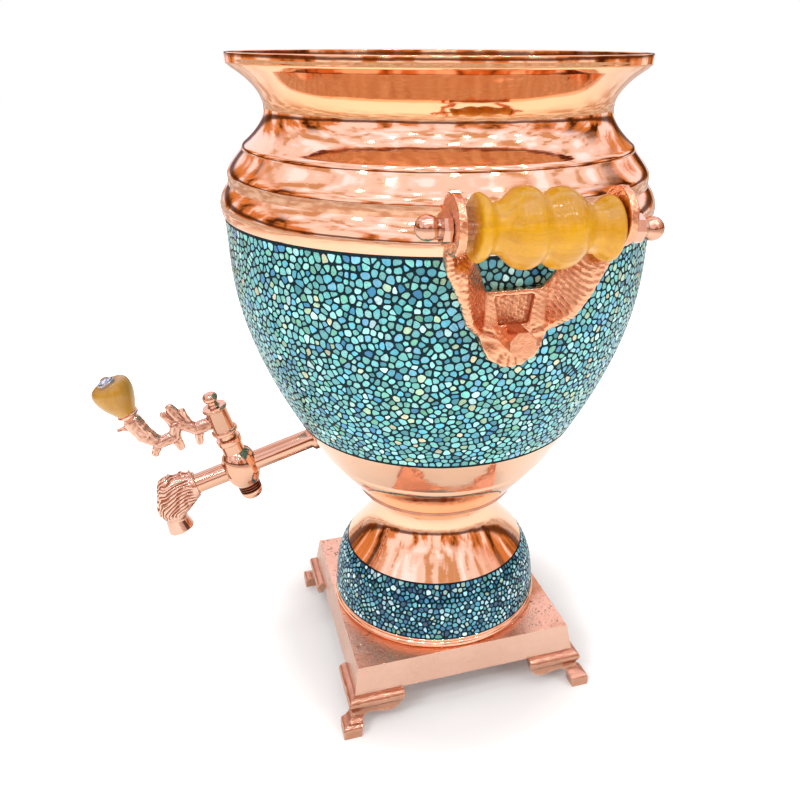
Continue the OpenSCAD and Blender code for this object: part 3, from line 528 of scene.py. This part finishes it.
def polished_copper(name="polished copper", tone=(0.95, 0.59, 0.39), rough=0.05, waves=1.0, crevices=0.75):
    """Hand-spun sheet: long soft waves, small dents, fine rings from the lathe, brownish tarnish in patches,
    and shade painted into its crevices as a darker tone.
    """
    browner, crevice_shade_tone = toned(tone, (0.95, 0.80, 0.66)), (0.16, 0.05, 0.02)
    f = Finish(name)
    tarnish = f.noise(9, 4).between(0.45, 0.75)
    smear = f.noise(60, 3, f.here((1, 1, 2.5))).between(0.35, 0.8)
    colour = f.mixed(tarnish * 0.3 + smear * 0.15, tone, browner)
    # Painted shade: crevices darkened towards a dark brown, as strongly as crevices says.
    crevice_shade = 1 - f.pointiness().between(0.40, 0.475)
    colour = f.mixed(crevice_shade * crevices, colour, crevice_shade_tone)
    long_waves = f.noise(13, 1.5, f.here((1, 1, 1.6)))
    dents = f.noise(70, 2)
    rings = f.noise(1, 2, f.here((5, 5, 700)))
    normal = f.bump(long_waves, 0.0016 * waves)
    normal = f.bump(dents, 0.00012 * waves, normal=normal)
    normal = f.bump(rings, 0.000016 * waves, normal=normal)
    return f.done(Base_Color=colour, Metallic=1.0, Roughness=smear * 0.06 + rough, Normal=normal)


def cast_copper(name="cast copper", tone=(0.90, 0.51, 0.34), rough=0.2, grain=1.0, dark=0.5, polish_below=0.0):
    """Sand-cast metal: buffed on its high places, rougher in its hollows and its carved relief, with shade
    painted there as a darker tone.

    Under the height polish_below, in metres, it is polished bright."""
    # The darker tone below stands for painted shade in the hollows and carved relief, and for random tarnish
    # patches.
    tarnish_and_shade, bright, edge = toned(tone, (0.42, 0.22, 0.14)), 0.06, 0.001
    f = Finish(name)
    hollow = 1 - f.pointiness().between(0.44, 0.53)
    carved = (f.node("ShaderNodeAttribute", {"attribute_name": "relief"}, out="Fac") * -1.0).between(0.1, 0.85)
    raw = f.along("Z").between(polish_below - edge, polish_below + edge)
    sand = f.noise(1100, 3)
    grit = f.noise(420, 4, rough=0.6)
    lumps = f.noise(150, 3)
    patches = f.noise(55, 3).between(0.4, 0.7)
    # Painted shade: hollows and carved relief darkened, plus random tarnish patches.
    colour = f.mixed((hollow * dark + carved * dark * 0.9 + patches * 0.2).kept(), tone, tarnish_and_shade)
    normal = f.bump(lumps * raw, 0.0006 * grain)
    normal = f.bump(grit * raw, 0.00022 * grain, normal=normal)
    normal = f.bump(sand * raw, 0.00006 * grain, normal=normal)
    added = hollow * 0.18 + carved * 0.15 + patches * 0.1 + (rough - bright)
    return f.done(Base_Color=colour, Metallic=1.0, Roughness=(added * raw + bright).kept(), Normal=normal)


def plinth_copper():
    """Satin copper: sides finished by brushing, painted a darker tone than the top as shade, and a top that is
    browner, with more brown painted towards the rear as shade, pitted and full of small glints.
    """
    # Painted shade: the side colours are darker than the top's, which stands for the light on the top.
    brushed_shaded_side, worn_shaded_side = (0.74, 0.46, 0.35), (0.68, 0.40, 0.285)
    top, brown, pitted = (0.95, 0.60, 0.44), (0.58, 0.24, 0.10), (0.30, 0.11, 0.05)
    f = Finish("satin copper")
    up = f.along("Z", f.node("ShaderNodeNewGeometry", out="Normal")).between(0.6, 0.9)
    pits = f.noise(420, 4).between(0.60, 0.74)
    glints = f.noise(1300, 2)
    scuffs = f.noise(70, 5, rough=0.7)
    patches = f.noise(24, 4).between(0.40, 0.62)
    # Painted shade: the top's brown patches thicken towards the rear, +Y.
    rear = f.along("Y").between(-0.05, 0.07)
    # Painted shade: faces that look up take the lighter top colour, the others the darker side colours.
    colour = f.mixed(up, f.mixed(patches * 0.3, brushed_shaded_side, worn_shaded_side), top)
    colour = f.mixed(up * patches * (rear * 0.8 + 0.15), colour, brown)
    colour = f.mixed(pits * (up * 0.8 + 0.12), colour, pitted)
    normal = f.bump(scuffs, 0.0006)
    normal = f.bump(glints * up, 0.0003, normal=normal)
    normal = f.bump(pits * up, -0.0003, normal=normal)
    return f.done(Base_Color=colour, Metallic=1.0, Roughness=patches * 0.1 - up * 0.05 + 0.19, Normal=normal)


def dull_copper():
    """Bare sheet inside the urn."""
    bare, darkened = (0.62, 0.30, 0.19), (0.42, 0.20, 0.14)
    f = Finish("dull copper")
    patches = f.noise(30, 4).between(0.3, 0.7)
    colour = f.mixed(patches, bare, darkened)
    return f.done(Base_Color=colour, Metallic=1.0, Roughness=patches * 0.2 + 0.35,
                  Normal=f.bump(f.noise(200, 3), 0.0001))


def stone():
    """Turquoise, one shade to a stone, clouded and faintly veined, ground flush and lacquered."""
    clouded, veined = (0.50, 0.72, 0.84), (0.01, 0.04, 0.06)
    f = Finish("turquoise stones")
    tint = f.node("ShaderNodeAttribute", {"attribute_name": "tint"}, out="Color")
    cloud = f.noise(420, 4)
    strands = f.noise(260, 2, distortion=1.5)
    vein = strands.between(0.47, 0.5) - strands.between(0.5, 0.53)
    colour = f.mixed(cloud.between(0.3, 0.7) * 0.5, tint, f.mixed(1.0, tint, clouded, "MULTIPLY"))
    colour = f.mixed(vein * 0.4, colour, veined)
    return f.done(Base_Color=colour, Roughness=cloud * 0.2 + 0.25, Specular_IOR_Level=0.25, Coat_Weight=0.7,
                  Coat_Roughness=0.03, Normal=f.bump(cloud, 0.00008))


def grout():
    """Near-black filler with specks of stone dust, under the same lacquer."""
    filler, stone_dust = (0.001, 0.012, 0.018), (0.06, 0.14, 0.17)
    f = Finish("black grout")
    specks = f.noise(1500, 2).between(0.62, 0.72)
    colour = f.mixed(specks * 0.4, filler, stone_dust)
    return f.done(Base_Color=colour, Roughness=specks * 0.2 + 0.4, Specular_IOR_Level=0.0, Coat_Weight=0.3,
                  Coat_Roughness=0.04)


def varnished_wood(name, light, dark, axis, turned_by=0.0, stretch=14):
    """Fine-pored wood with its grain along one axis, under thick varnish."""
    f = Finish(name)
    scale = [1.0, 1.0, 1.0]
    scale[axis] = 1 / stretch
    place = f.here(tuple(scale), (turned_by, 0, 0))
    bands = f.noise(110, 4, place, distortion=0.4).between(0.40, 0.62)
    fibre = f.noise(1000, 3, place).between(0.45, 0.7)
    cloud = f.noise(28, 2).between(0.3, 0.75)
    colour = f.mixed((bands * 0.28 + cloud * 0.35).kept(), light, dark)
    colour = f.mixed(fibre * 0.15, colour, toned(dark, (0.5, 0.5, 0.5)))
    return f.done(Base_Color=colour, Roughness=bands * 0.1 + 0.35, Specular_IOR_Level=0.2, Coat_Weight=0.9,
                  Coat_Roughness=0.02, Normal=f.bump(bands + f.noise(120, 2), 0.0002))


def plain_metal(name, tone, rough):
    """Small hidden fittings."""
    f = Finish(name)
    patches = f.noise(200, 3)
    colour = f.mixed(patches, tone, toned(tone, (0.75, 0.75, 0.75)))
    return f.done(Base_Color=colour, Metallic=1.0, Roughness=patches * 0.15 + rough)


def rubber():
    """Black gasket rubber."""
    black, dusty = (0.012, 0.012, 0.012), (0.05, 0.05, 0.05)
    f = Finish("gasket rubber")
    dust = f.noise(300, 3)
    return f.done(Base_Color=f.mixed(dust * 0.4, black, dusty), Roughness=dust * 0.2 + 0.55)


def jewel():
    """A clear cut stone with a silvered back."""
    silver, shadow = (0.66, 0.69, 0.74), (0.22, 0.25, 0.30)
    f = Finish("clear jewel")
    spark = f.noise(700, 1)
    return f.done(Base_Color=f.mixed(spark.between(0.4, 0.6), silver, shadow), Metallic=0.85,
                  Roughness=spark * 0.06 + 0.02, Coat_Weight=1.0, Coat_Roughness=0.0)


POLISHED = polished_copper()
# Painted reflection: the gallery's copper is tinted more orange than the body's, standing in for the copper and
# orange light it reflects.
REFLECTION_TINTED = polished_copper("polished copper gallery with painted reflection", (1.0, 0.56, 0.30))
SMALL = polished_copper("polished copper fittings", (0.73, 0.44, 0.31), 0.06, 0.45)
LID = polished_copper("polished copper lid", waves=0.6, crevices=0.0)
# Painted shade: the thread is coloured dark for the shade in its grooves.
SHADED_THREAD = polished_copper("thread painted dark as shade", (0.30, 0.12, 0.07), 0.2, 0.3)
# Each cast finish's fifth number sets how much shade is painted into its hollows and carved relief.
CAST = cast_copper("cast copper brackets", (0.95, 0.50, 0.295), 0.17, 1.1, 0.6)
BOLT = cast_copper("cast copper bolts", (0.84, 0.42, 0.25), 0.14, 0.5, 0.6)
FEET = cast_copper("cast copper feet", (0.70, 0.385, 0.26), 0.14, 1.2, 0.85)
SPOUT = cast_copper("cast copper spout", (0.86, 0.55, 0.42), 0.16, 0.8, 0.9, 0.1385)
LEVER = cast_copper("cast copper lever", (0.88, 0.57, 0.44), 0.12, 0.6, 0.7)
PLINTH = plinth_copper()
DULL = dull_copper()
STONE = stone()
GROUT = grout()
GRIP = varnished_wood("grip wood", (0.61, 0.295, 0.003), (0.36, 0.125, 0.001), 1)
KNOB_WOOD = varnished_wood("knob wood", (0.48, 0.235, 0.02), (0.27, 0.11, 0.006), 2, math.radians(16), 8)
LID_WOOD = varnished_wood("lid knob wood", (0.80, 0.42, 0.06), (0.55, 0.25, 0.02), 2)
STEEL = plain_metal("steel fittings", (0.62, 0.62, 0.64), 0.25)
IRON = plain_metal("iron grate", (0.12, 0.11, 0.11), 0.55)
RUBBER = rubber()
JEWEL = jewel()

# Weights and colours of the stones, body and pedestal.
BODY_SHADES = [
    (24, (0.17, 0.52, 0.48)), (20, (0.12, 0.43, 0.42)), (16, (0.31, 0.66, 0.61)), (12, (0.09, 0.42, 0.52)),
    (9, (0.16, 0.48, 0.64)), (8, (0.14, 0.42, 0.30)), (4, (0.40, 0.55, 0.36)), (4, (0.03, 0.24, 0.42)),
    (2, (0.55, 0.52, 0.33)), (5, (0.50, 0.76, 0.73)), (6, (0.04, 0.26, 0.30))]
PEDESTAL_SHADES = [
    (24, (0.06, 0.27, 0.38)), (18, (0.12, 0.40, 0.48)), (20, (0.40, 0.68, 0.73)), (12, (0.03, 0.16, 0.30)),
    (8, (0.08, 0.30, 0.28)), (4, (0.38, 0.52, 0.42)), (12, (0.01, 0.08, 0.16)), (8, (0.60, 0.80, 0.83))]


# ---- Urn and pedestal ----

FINE = 320  # steps round the wide pieces
GROUT_DEPTH, BEDDING = 0.35, 0.1  # grout under the stones' faces, and its gap to the bed
turned("urn_wall", joined(inset(BODY, INLAY), BAND, line((79.2, Z_STEP - 1.2)), BOWL, inset(BOWL, WALL)[::-1],
                          BODY_BACK[::-1]), POLISHED, "urn", ("body_shell",), "polished_copper", FINE)
turned("body_grout", joined(inset(BODY, GROUT_DEPTH), inset(BODY, INLAY - BEDDING)[::-1]), GROUT, "urn",
       ("body_inlay",), "turquoise_inlay", FINE)
mosaic("body_stones", BODY, 4.6, 0.8, 2.0, 7, BODY_SHADES, STONE, "urn")
turned("shoulder_rings", joined(
    SHOULDER, line((BODY_BACK[0, 0], Z_SHOULDER), (BODY_BACK[0, 0], Z_SHOULDER + 9)),
    curve((127.5, Z_SHOULDER + 19), (125, Z_SHOULDER + 27), (106.5, Z_NECK - 22), (NECK_R - WALL, Z_NECK - 9)),
    line((NECK_R - WALL, Z_NECK))), POLISHED, "urn", ("shoulder",), "polished_copper", FINE)
# Painted reflection: the gallery wears the orange-tinted copper.
turned("flared_gallery", joined(
    line((RIM_R - 0.5, Z_RIM)), arc((RIM_R - 0.5, Z_RIM - 0.6), 0.6, 80, 0, 4), line((RIM_R + 0.1, Z_RIM - 4)),
    arc((RIM_R - 1.5, Z_RIM - 5.2), 1.5, 10, -60, 6), FLARE, inset(FLARE, WALL)[::-1],
    line((RIM_R - 2.8, Z_RIM - 5), (RIM_R - 2.6, Z_RIM - 3)),
    arc((RIM_R - 2.1, Z_RIM - 0.5), 0.5, 180, 90, 4)), REFLECTION_TINTED, "urn", ("gallery",), "polished_copper", FINE)

turned("waist", joined(
    line((56, Z_FLOOR)),
    curve((56, Z_FLOOR - 0.8), (50.5, Z_FLOOR - 1.4), (WAIST_R, Z_FLOOR - 6.4), (WAIST_R, Z_WAIST), 20),
    line((WAIST_R - WALL, Z_WAIST), (WAIST_R - WALL, Z_FLOOR - 2), (36, Z_FLOOR - 2), (36, Z_FLOOR))),
       POLISHED, "urn", ("waist_collar",), "polished_copper")
drum_bed, drum_back = inset(DRUM, INLAY), inset(DRUM, INLAY + WALL)
drum_back = drum_back[drum_back[:, 1] > Z_PEDESTAL + 4]
turned("pedestal_dome", joined(
    DOME, drum_bed, line((58, Z_PEDESTAL), (58, Z_PEDESTAL + 3), (drum_back[-1, 0], Z_PEDESTAL + 3)),
    drum_back[::-1],
    curve((WAIST_R - WALL, Z_WAIST), (WAIST_R - WALL, Z_WAIST - 15), (54, Z_WAIST - 27), drum_back[0])[::-1]),
       POLISHED, "urn", ("pedestal_shell",), "polished_copper")
turned("pedestal_grout", joined(inset(DRUM, GROUT_DEPTH), inset(DRUM, INLAY - BEDDING)[::-1]), GROUT, "urn",
       ("pedestal_inlay",), "turquoise_inlay")
mosaic("pedestal_stones", DRUM, 3.6, 0.9, 1.2, 11, PEDESTAL_SHADES, STONE, "urn", 12)
turned("bead_ring", joined(line((56, Z_RING), (74.6, Z_RING)), arc((74.6, 48.5), 2.4, -90, 74, 16),
                           line((75.2, 51)), arc((75.2, 52), 1, -90, 90, 10), line((56, Z_PEDESTAL))),
       POLISHED, "urn", ("pedestal_bead_ring",), "polished_copper")

# ---- Plinth and feet ----

eased("plinth", "base_plinth", PLINTH, "urn", 1.1, 3)
for corner in ("front_right", "front_left", "rear_right", "rear_left"):
    casting("bracket_foot_" + corner, "foot_" + corner, 0.65, FEET, "urn")

# ---- Tap ----

tap = dict(body="urn", slot="polished_copper", steps=96, frame_of=TAP)
key = dict(body="tap_key", slot="polished_copper", steps=96, frame_of=TAP)
SEAT_LOW, SEAT_TOP = -19.5, 24
barrel = joined(
    line((0, SEAT_TOP), (8.1, SEAT_TOP)), arc((8.1, SEAT_TOP - 0.3), 0.3, 90, 0, 3),
    line((8.4, 20.6), (7.3, 19.6), (7.3, 13.2)),
    curve((9.6, 11), (12.6, 7), (13.3, -3.5), (9.8, -10.6), 28), line((8, -13.2), (6.3, -13.4), (0, -13.4)))
root, crest, ridges = 6.4, 7.7, (0, 1.7)
thread = joined(
    line((0, -13.3), (root, -13.3)),
    *[line((root, -14.6), (crest, -14.8), (crest, -15.2), (root, -15.4)) - [0, drop] for drop in ridges],
    line((6.4, -18.2), (7.7, -18.4), (7.7, -18.8), (6.9, -18.8), (6.9, SEAT_LOW), (0, SEAT_LOW)))
turned("tap_body", barrel, SMALL, nodes=("tap_barrel",), sharp=40, **tap)
# The thread is painted dark, as shade.
turned("tap_thread", thread, SHADED_THREAD, **tap)
turned("cap_nut", joined(
    line((0, -18.8), (7.3, -18.8), (7.6, -19.1), (7.6, -20.4)),
    curve((7.6, -20.4), (7.2, -24), (4.5, -26), (0, -26), 20)), SMALL, nodes=("tap_cap_nut",), **tap)
turned("inlet_pipe", line((4.2, -74), (6.8, -74), (6.8, -10), (4.2, -10)), SMALL, "urn", ("tap_pipe",),
       "polished_copper", 96, PIPE)
turned("outlet_pipe", line((4.2, 10), (6.8, 10), (6.8, 34), (4.2, 34)), SMALL, "urn", ("tap_outlet_pipe",),
       "polished_copper", 96, PIPE)
turned("key_sleeve", joined(
    line((0, 24.3), (5.6, 24.3), (5.2, 26.5), (5.6, 28), (7.9, 28.3)), arc((7.9, 29.1), 0.8, -90, 0, 4),
    arc((7.9, 30.3), 0.8, 0, 90, 4), line((7.2, 31.6), (7.2, 46)), arc((7.5, 47.5), 0.9, -90, 80, 10),
    line((7.7, 49.2), (0, 49.2))), SMALL, nodes=("tap_key_sleeve",), **key)
turned("key_finial", joined(
    line((0, 49.2), (4.2, 49.2), (3.3, 50.2), (3.3, 52.6), (4.0, 53.1)),
    curve((4.0, 53.1), (5.6, 53.9), (5.6, 57), (3.6, 58.3), 14),
    curve((3.6, 58.3), (2.5, 58.9), (1.2, 58.9), (0, 58.9), 6)),
       SMALL, nodes=("tap_key_finial",), **key)
turned("knob_ferrule", line((0, 0), (6, 0), (6.9, 0.8), (6.9, 2), (6.2, 2.6), (6.6, 3.4), (0, 3.4)), SPOUT,
       "tap_key", ("tap_ferrule",), "cast_copper", 64, KNOB)
turned("lever_knob", joined(
    line((0, 3.4), (6.7, 3.4)), curve((6.7, 3.4), (8.6, 7.5), (12.5, 13.5), (12.6, 19.5), 24),
    curve((12.6, 19.5), (12.7, 23.3), (11.4, 25.8), (8, 25.8), 16), line((0, 25.8))), KNOB_WOOD, "tap_key",
       ("tap_knob",), "varnished_wood", 96, KNOB)
turned("knob_bezel", joined(line((0, 25.8), (5.6, 25.8), (5.6, 27.2)), arc((5.1, 27.2), 0.5, 0, 90, 4),
                            line((4.5, 27.4), (4.3, 26.6), (0, 26.6))), STEEL, "tap_key", ("tap_knob_bezel",),
       "steel", 64, KNOB)


def feathers(points, _):
    """Sweeping ridges on the spout's head: arcs from the pipe that bend down to the front, none on the cup."""
    x, y, z = in_frame(points, TAP).T
    reach = np.hypot(x - 41.5, z + 21)
    lean = np.arctan2(z + 21, x - 41.5)
    phase = reach / 2.3 + 0.35 * np.sin(lean * 5 + np.abs(y)) + 0.16 * np.sin(reach * 2.1 + y * 1.3 + lean * 9)
    ridge = np.abs(2 * (phase % 1) - 1)
    on_head = np.clip((z + 16.5) / 4, 0, 1) * np.clip((x - 33.5) / 3, 0, 1)
    return (0.1 - 1.05 * ridge**1.7) * on_head


def branch_faces(points, normals):
    """The lever's twigs: hollowed along their flat sides, with low uneven knots."""
    x, y, z = in_frame(points, TAP).T
    flat = np.abs(normals @ TAP[:3, 1]) ** 5
    knots = np.sin(x * 0.85 + 1.7 * np.sin(z * 0.45)) * np.sin(z * 0.7 + 0.8 * np.sin(x * 0.5) + 1)
    return 0.25 * knots * (1 - flat) - flat * (0.55 + 0.15 * knots)


def bracket_relief(side):
    """Barbs across each leaf arm, a fluted fan round the bolt, and a sunk, coarse panel in the hub."""
    # Points along an arm's middle, and the half width of its leaf at each.
    path = np.array([[138, 18, 13], [146, 25, 23], [151.3, 28.8, 33.3], [154.5, 31.3, 43],
                     [154.5, 39.5, 44.3], [157, 40.7, 53]])
    wide = np.array([[0.5, 1, -10], [3, 2.5, -9.3], [4.3, 3.3, -7.2], [2.5, 2.3, -3], [2.5, 0, -2.3],
                     [1, 0, -3]])
    start = np.r_[0, np.cumsum(np.linalg.norm(np.diff(path, axis=0), axis=1))]

    def carve(points, _):
        """The relief's height at each point."""
        x, y, z = in_frame(points, HANDLE[side]).T
        p = np.column_stack([x, np.abs(y), z])
        best, across, along = np.full(len(p), np.inf), np.zeros(len(p)), np.zeros(len(p))
        for i, (a, b) in enumerate(zip(path[:-1], path[1:])):
            t = np.clip((p - a) @ (b - a) / ((b - a) @ (b - a)), 0, 1)
            off = p - a - t[:, None] * (b - a)
            w = wide[i] + t[:, None] * (wide[i + 1] - wide[i])
            here = np.einsum("ij,ij->i", off, off)
            nearer = here < best
            across = np.where(nearer, np.einsum("ij,ij->i", off, w) / np.einsum("ij,ij->i", w, w), across)
            along = np.where(nearer, start[i] + t * np.linalg.norm(b - a), along)
            best = np.minimum(best, here)
        on_arm = np.clip((p[:, 1] - 17.5) / 3, 0, 1) * np.clip((54 - z) / 4, 0, 1)
        barbs = np.abs(2 * ((along / 3.1 - 0.55 * across**2 + 0.12 * np.sin(along * 2.3)) % 1) - 1)
        height = on_arm * (0.15 - 0.45 * barbs**2)
        radius, angle = np.hypot(y, z), np.arctan2(y, -z)
        on_fan = np.clip((radius - 9.5) / 2, 0, 1) * np.clip((7 - z) / 4, 0, 1)
        on_fan = on_fan * np.clip((19 - p[:, 1]) / 2, 0, 1)
        height += on_fan * (0.15 - 0.75 * np.abs(np.sin(angle * 6.5 + 0.09 * radius * np.sin(angle * 3))) ** 3)
        inside = np.clip((z - 6.8) / 0.6, 0, 1) * np.clip((21.6 - z) / 0.6, 0, 1)
        inside *= np.clip((8 + (z - 6.5) * 0.19 - p[:, 1]) / 0.6, 0, 1) * np.clip((x - 125) / 2, 0, 1)
        coarse = np.sin(y * 2.9 + 1.7 * np.sin(z * 2.1)) * np.sin(z * 2.6 + 1.3 * np.sin(y * 1.9))
        return height + inside * (0.25 * coarse - 0.4) + 0.1 * np.sin(y * 1.3 + z) * np.sin(z * 1.1 - x)

    return carve


casting("spout", "tap_spout", 0.42, SPOUT, "urn", feathers, 2)
casting("branch_lever", "tap_lever", 0.45, LEVER, "tap_key", branch_faces, 2)

# ---- Handles ----

half_grip = joined(
    line((3.25, 35), (12.6, 35)), curve((12.6, 35), (14.4, 35), (15.8, 34), (15.8, 32.4), 8),
    curve((15.8, 32.4), (15.2, 28), (11.9, 28), (12, 23.8), 16),
    curve((12, 23.8), (12.1, 17.85), (19.1, 17.15), (19.1, 8.75), 24),
    curve((19.1, 8.75), (19.1, 3.85), (16.6, 3.15), (16.1, 0), 14))
grip_profile = joined(half_grip, (half_grip * [1, -1])[::-1])
# Turned by hand, its middle groove is a little off the middle.
half_length, off_middle = 35, 1.7
grip_profile[:, 1] -= off_middle * (1 - (grip_profile[:, 1] / half_length) ** 2)
for side, word in SIDE.items():
    turned("grip_" + word, grip_profile, GRIP, "grip_" + word, ("handle_grip_" + word,), "varnished_wood", 128,
           ROD[side])
    casting("bracket_" + word, "handle_bracket_" + word, 0.62, CAST, "urn",
            bracket_relief(side), 2)
    eased("bolt_" + word, "handle_bolt_" + word, BOLT, "urn", 0.8, 3)
    smoothed("rod_" + word, "handle_rod_" + word, SMALL, "urn")
    smoothed("ball_nut_" + word, "handle_ball_nut_" + word, SMALL, "urn")

# ---- Lid, cap and hidden fittings, in their own shapes ----

for node, finish, body, slot in (
        ("lid", LID, "lid", "polished_copper"), ("flue_cap", LID, "flue_cap", "polished_copper"),
        ("lid_knob_right", LID_WOOD, "lid", "varnished_wood"),
        ("lid_knob_left", LID_WOOD, "lid", "varnished_wood"),
        ("flue_cap_knob", LID_WOOD, "flue_cap", "varnished_wood"), ("fire_tube", DULL, "urn", "dull_copper"),
        ("vessel_floor", DULL, "urn", "dull_copper"), ("lid_seat_ring", DULL, "urn", "dull_copper"),
        ("tap_collar", SMALL, "urn", "polished_copper"), ("tap_plug", SMALL, "tap_key", "polished_copper"),
        ("tap_plug_washer", STEEL, "tap_key", "steel"), ("tap_gasket", RUBBER, "urn", "rubber"),
        ("handle_gasket_right", RUBBER, "urn", "rubber"), ("handle_gasket_left", RUBBER, "urn", "rubber"),
        ("foot_screws", STEEL, "urn", "steel"), ("pedestal_screws", STEEL, "urn", "steel"),
        ("lid_knob_screws", STEEL, "lid", "steel")):
    smoothed(node + "_smooth", node, finish, body)
for node, finish in (("fire_grate", IRON), ("tap_lock_nut", DULL), ("tap_plug_nut", STEEL),
                     ("tap_knob_jewel", JEWEL), ("handle_nut_right", DULL), ("handle_nut_left", DULL)):
    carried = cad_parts[node]
    carried.data.materials.clear()
    carried.data.materials.append(finish)

# ---- Floor, light and camera ----

FLOOR_HALF = 6  # metres
WHITE = (1.0, 1.0, 1.0)


def pale_floor():
    """White to the eye, shaded near the feet, and in the metal partly brown and dimmer."""
    pale, brown, dim = (0.92, 0.92, 0.92), (0.46, 0.19, 0.07), (0.05, 0.05, 0.05)
    f = Finish("pale floor")
    mirrored = f.rays("Is Glossy Ray")
    ground = f.node("ShaderNodeVectorMath", {"operation": "LENGTH"}, {0: f.here()}, out="Value")
    patches = f.noise(3.2, 4, f.here(location=(0.3, 0.1, 0))).between(0.42, 0.60)
    browned = ground.between(0.55, 1.2) * (1 - patches * 0.8) * mirrored
    matte = f.node("ShaderNodeBsdfDiffuse", {}, {"Color": f.mixed(browned, pale, brown)})
    open_floor = ground.between(0.10, 0.23) * (1 - mirrored * 0.75)
    glow = f.node("ShaderNodeEmission", {}, {"Color": f.mixed(open_floor, dim, WHITE)})
    return f.shown(f.node("ShaderNodeAddShader", {}, {0: matte, 1: glow}))


floor_mesh = bpy.data.meshes.new("floor")
floor_corners = [(FLOOR_HALF * x, FLOOR_HALF * y, 0) for x, y in ((-1, -1), (1, -1), (1, 1), (-1, 1))]
floor_mesh.from_pydata(floor_corners, [], [(0, 1, 2, 3)])
floor_mesh.materials.append(pale_floor())
floor = bpy.data.objects.new("floor", floor_mesh)
bpy.context.scene.collection.objects.link(floor)


def studio():
    """White round the camera; in the metal, a pale ceiling over warm brown surroundings with bright gaps."""
    brown, rust, dark = (0.08, 0.022, 0.005), (0.80, 0.32, 0.10), (0.07, 0.02, 0.007)
    daylight, skylight, ambient = (1.25, 1.12, 1.25), (1.45, 1.45, 1.9), (0.6, 0.6, 0.6)
    beam, ceiling = (0.75, 0.46, 0.28), (1.1, 1.0, 1.1)
    world = bpy.data.worlds.new("studio")
    world.use_nodes = True
    w = Nodes(world.node_tree)
    direction = w.node("ShaderNodeTexCoord", out="Generated")
    height = w.along("Z", direction)
    to_right = w.along("Y", direction).between(0.25, 0.9)
    streaks = w.noise(2.6, 5, w.moved(direction, (1, 1, 0.3)), 0.6) - to_right * 0.06
    walls = w.mixed(streaks.between(0.36, 0.45), brown, rust)
    walls = w.mixed(streaks.between(0.46, 0.54), walls, daylight)
    horizon = (1 - (height - 0.06).maths("ABSOLUTE").between(0.03, 0.10)) * 0.9
    walls = w.mixed(horizon, walls, dark)
    beams = w.noise(5.5, 3, w.moved(direction, location=(3, 1, 0)))
    above = w.mixed(beams.between(0.40, 0.47), beam, w.mixed(beams.between(0.52, 0.62), ceiling, skylight))
    seen = w.mixed(height.between(0.34, 0.60), walls, above)
    watched = w.rays("Is Camera Ray") + w.rays("Is Transmission Ray")
    colour = w.mixed(w.rays("Is Glossy Ray"), w.mixed(watched, ambient, WHITE), seen)
    sky = w.node("ShaderNodeBackground", {}, {"Color": colour, "Strength": 1.0})
    w.node("ShaderNodeOutputWorld", {}, {"Surface": sky})
    return world


bpy.context.scene.world = studio()


def panel(name, place, target, width, height, power, mirrored=False):
    """A soft rectangular lamp that faces a point, all in metres. A mirrored one shows in polished metal."""
    lamp = bpy.data.lights.new(name, "AREA")
    lamp.shape, lamp.size, lamp.size_y, lamp.energy = "RECTANGLE", width, height, power
    obj = bpy.data.objects.new(name, lamp)
    bpy.context.scene.collection.objects.link(obj)
    toward = np.array(target, float) - place
    toward /= np.linalg.norm(toward)
    side = np.cross(toward, (0, 0, 1))
    side /= np.linalg.norm(side)
    matrix = np.eye(4)
    matrix[:3, 0], matrix[:3, 1], matrix[:3, 2], matrix[:3, 3] = side, np.cross(side, toward), -toward, place
    obj.matrix_world = Matrix(matrix.tolist())
    obj.visible_glossy = mirrored
    return obj


BELLY, CHEST = (0, 0, 0.25), (0, 0, 0.3)
panel("key light", (0.9, -1.1, 1.4), BELLY, 0.5, 0.35, 9)
panel("fill light", (1.3, 0.9, 0.9), BELLY, 0.5, 0.7, 5)
panel("back light", (-1.2, -0.4, 1.3), BELLY, 1.2, 0.6, 5)
SPOT, SPOT_POWER, APART, LEAN = 0.05, 0.6, 0.42, 0.1
for row in range(3):
    for column in range(5):
        place = (0.35 + APART * row, -1.0 + APART * column + LEAN * row, 1.75 - LEAN * row)
        panel("ceiling spot %d%d" % (row, column), place, CHEST, SPOT, SPOT, SPOT_POWER, True)

# The eye's place in metres, and its directions in degrees.
EYE = (0.49512, -0.15611, 0.44187)
azimuth, pitch, yaw, roll = (math.radians(v) for v in (17.5, 21.56, -0.74, 0.25))
forward = np.array([math.sin(yaw) * math.cos(pitch), math.cos(yaw) * math.cos(pitch), -math.sin(pitch)])
right = np.array([math.cos(yaw), -math.sin(yaw), 0])
up = np.cross(right, forward)
across = right * math.cos(roll) + up * math.sin(roll)
upward = -right * math.sin(roll) + up * math.cos(roll)
to_model = np.array([[math.sin(azimuth), math.cos(azimuth), 0], [-math.cos(azimuth), math.sin(azimuth), 0],
                     [0, 0, 1]]).T
eye = bpy.data.cameras.new("camera")
eye.sensor_width, eye.lens, eye.clip_start = 36, 35.87, 0.01
eye.shift_x, eye.shift_y = -0.0328, -0.0571
camera = bpy.data.objects.new("camera", eye)
bpy.context.scene.collection.objects.link(camera)
pose = np.eye(4)
pose[:3, 0], pose[:3, 1], pose[:3, 2] = to_model @ across, to_model @ upward, -(to_model @ forward)
pose[:3, 3] = EYE
camera.matrix_world = Matrix(pose.tolist())
bpy.context.scene.camera = camera
bpy.context.scene.view_settings.view_transform = "Standard"
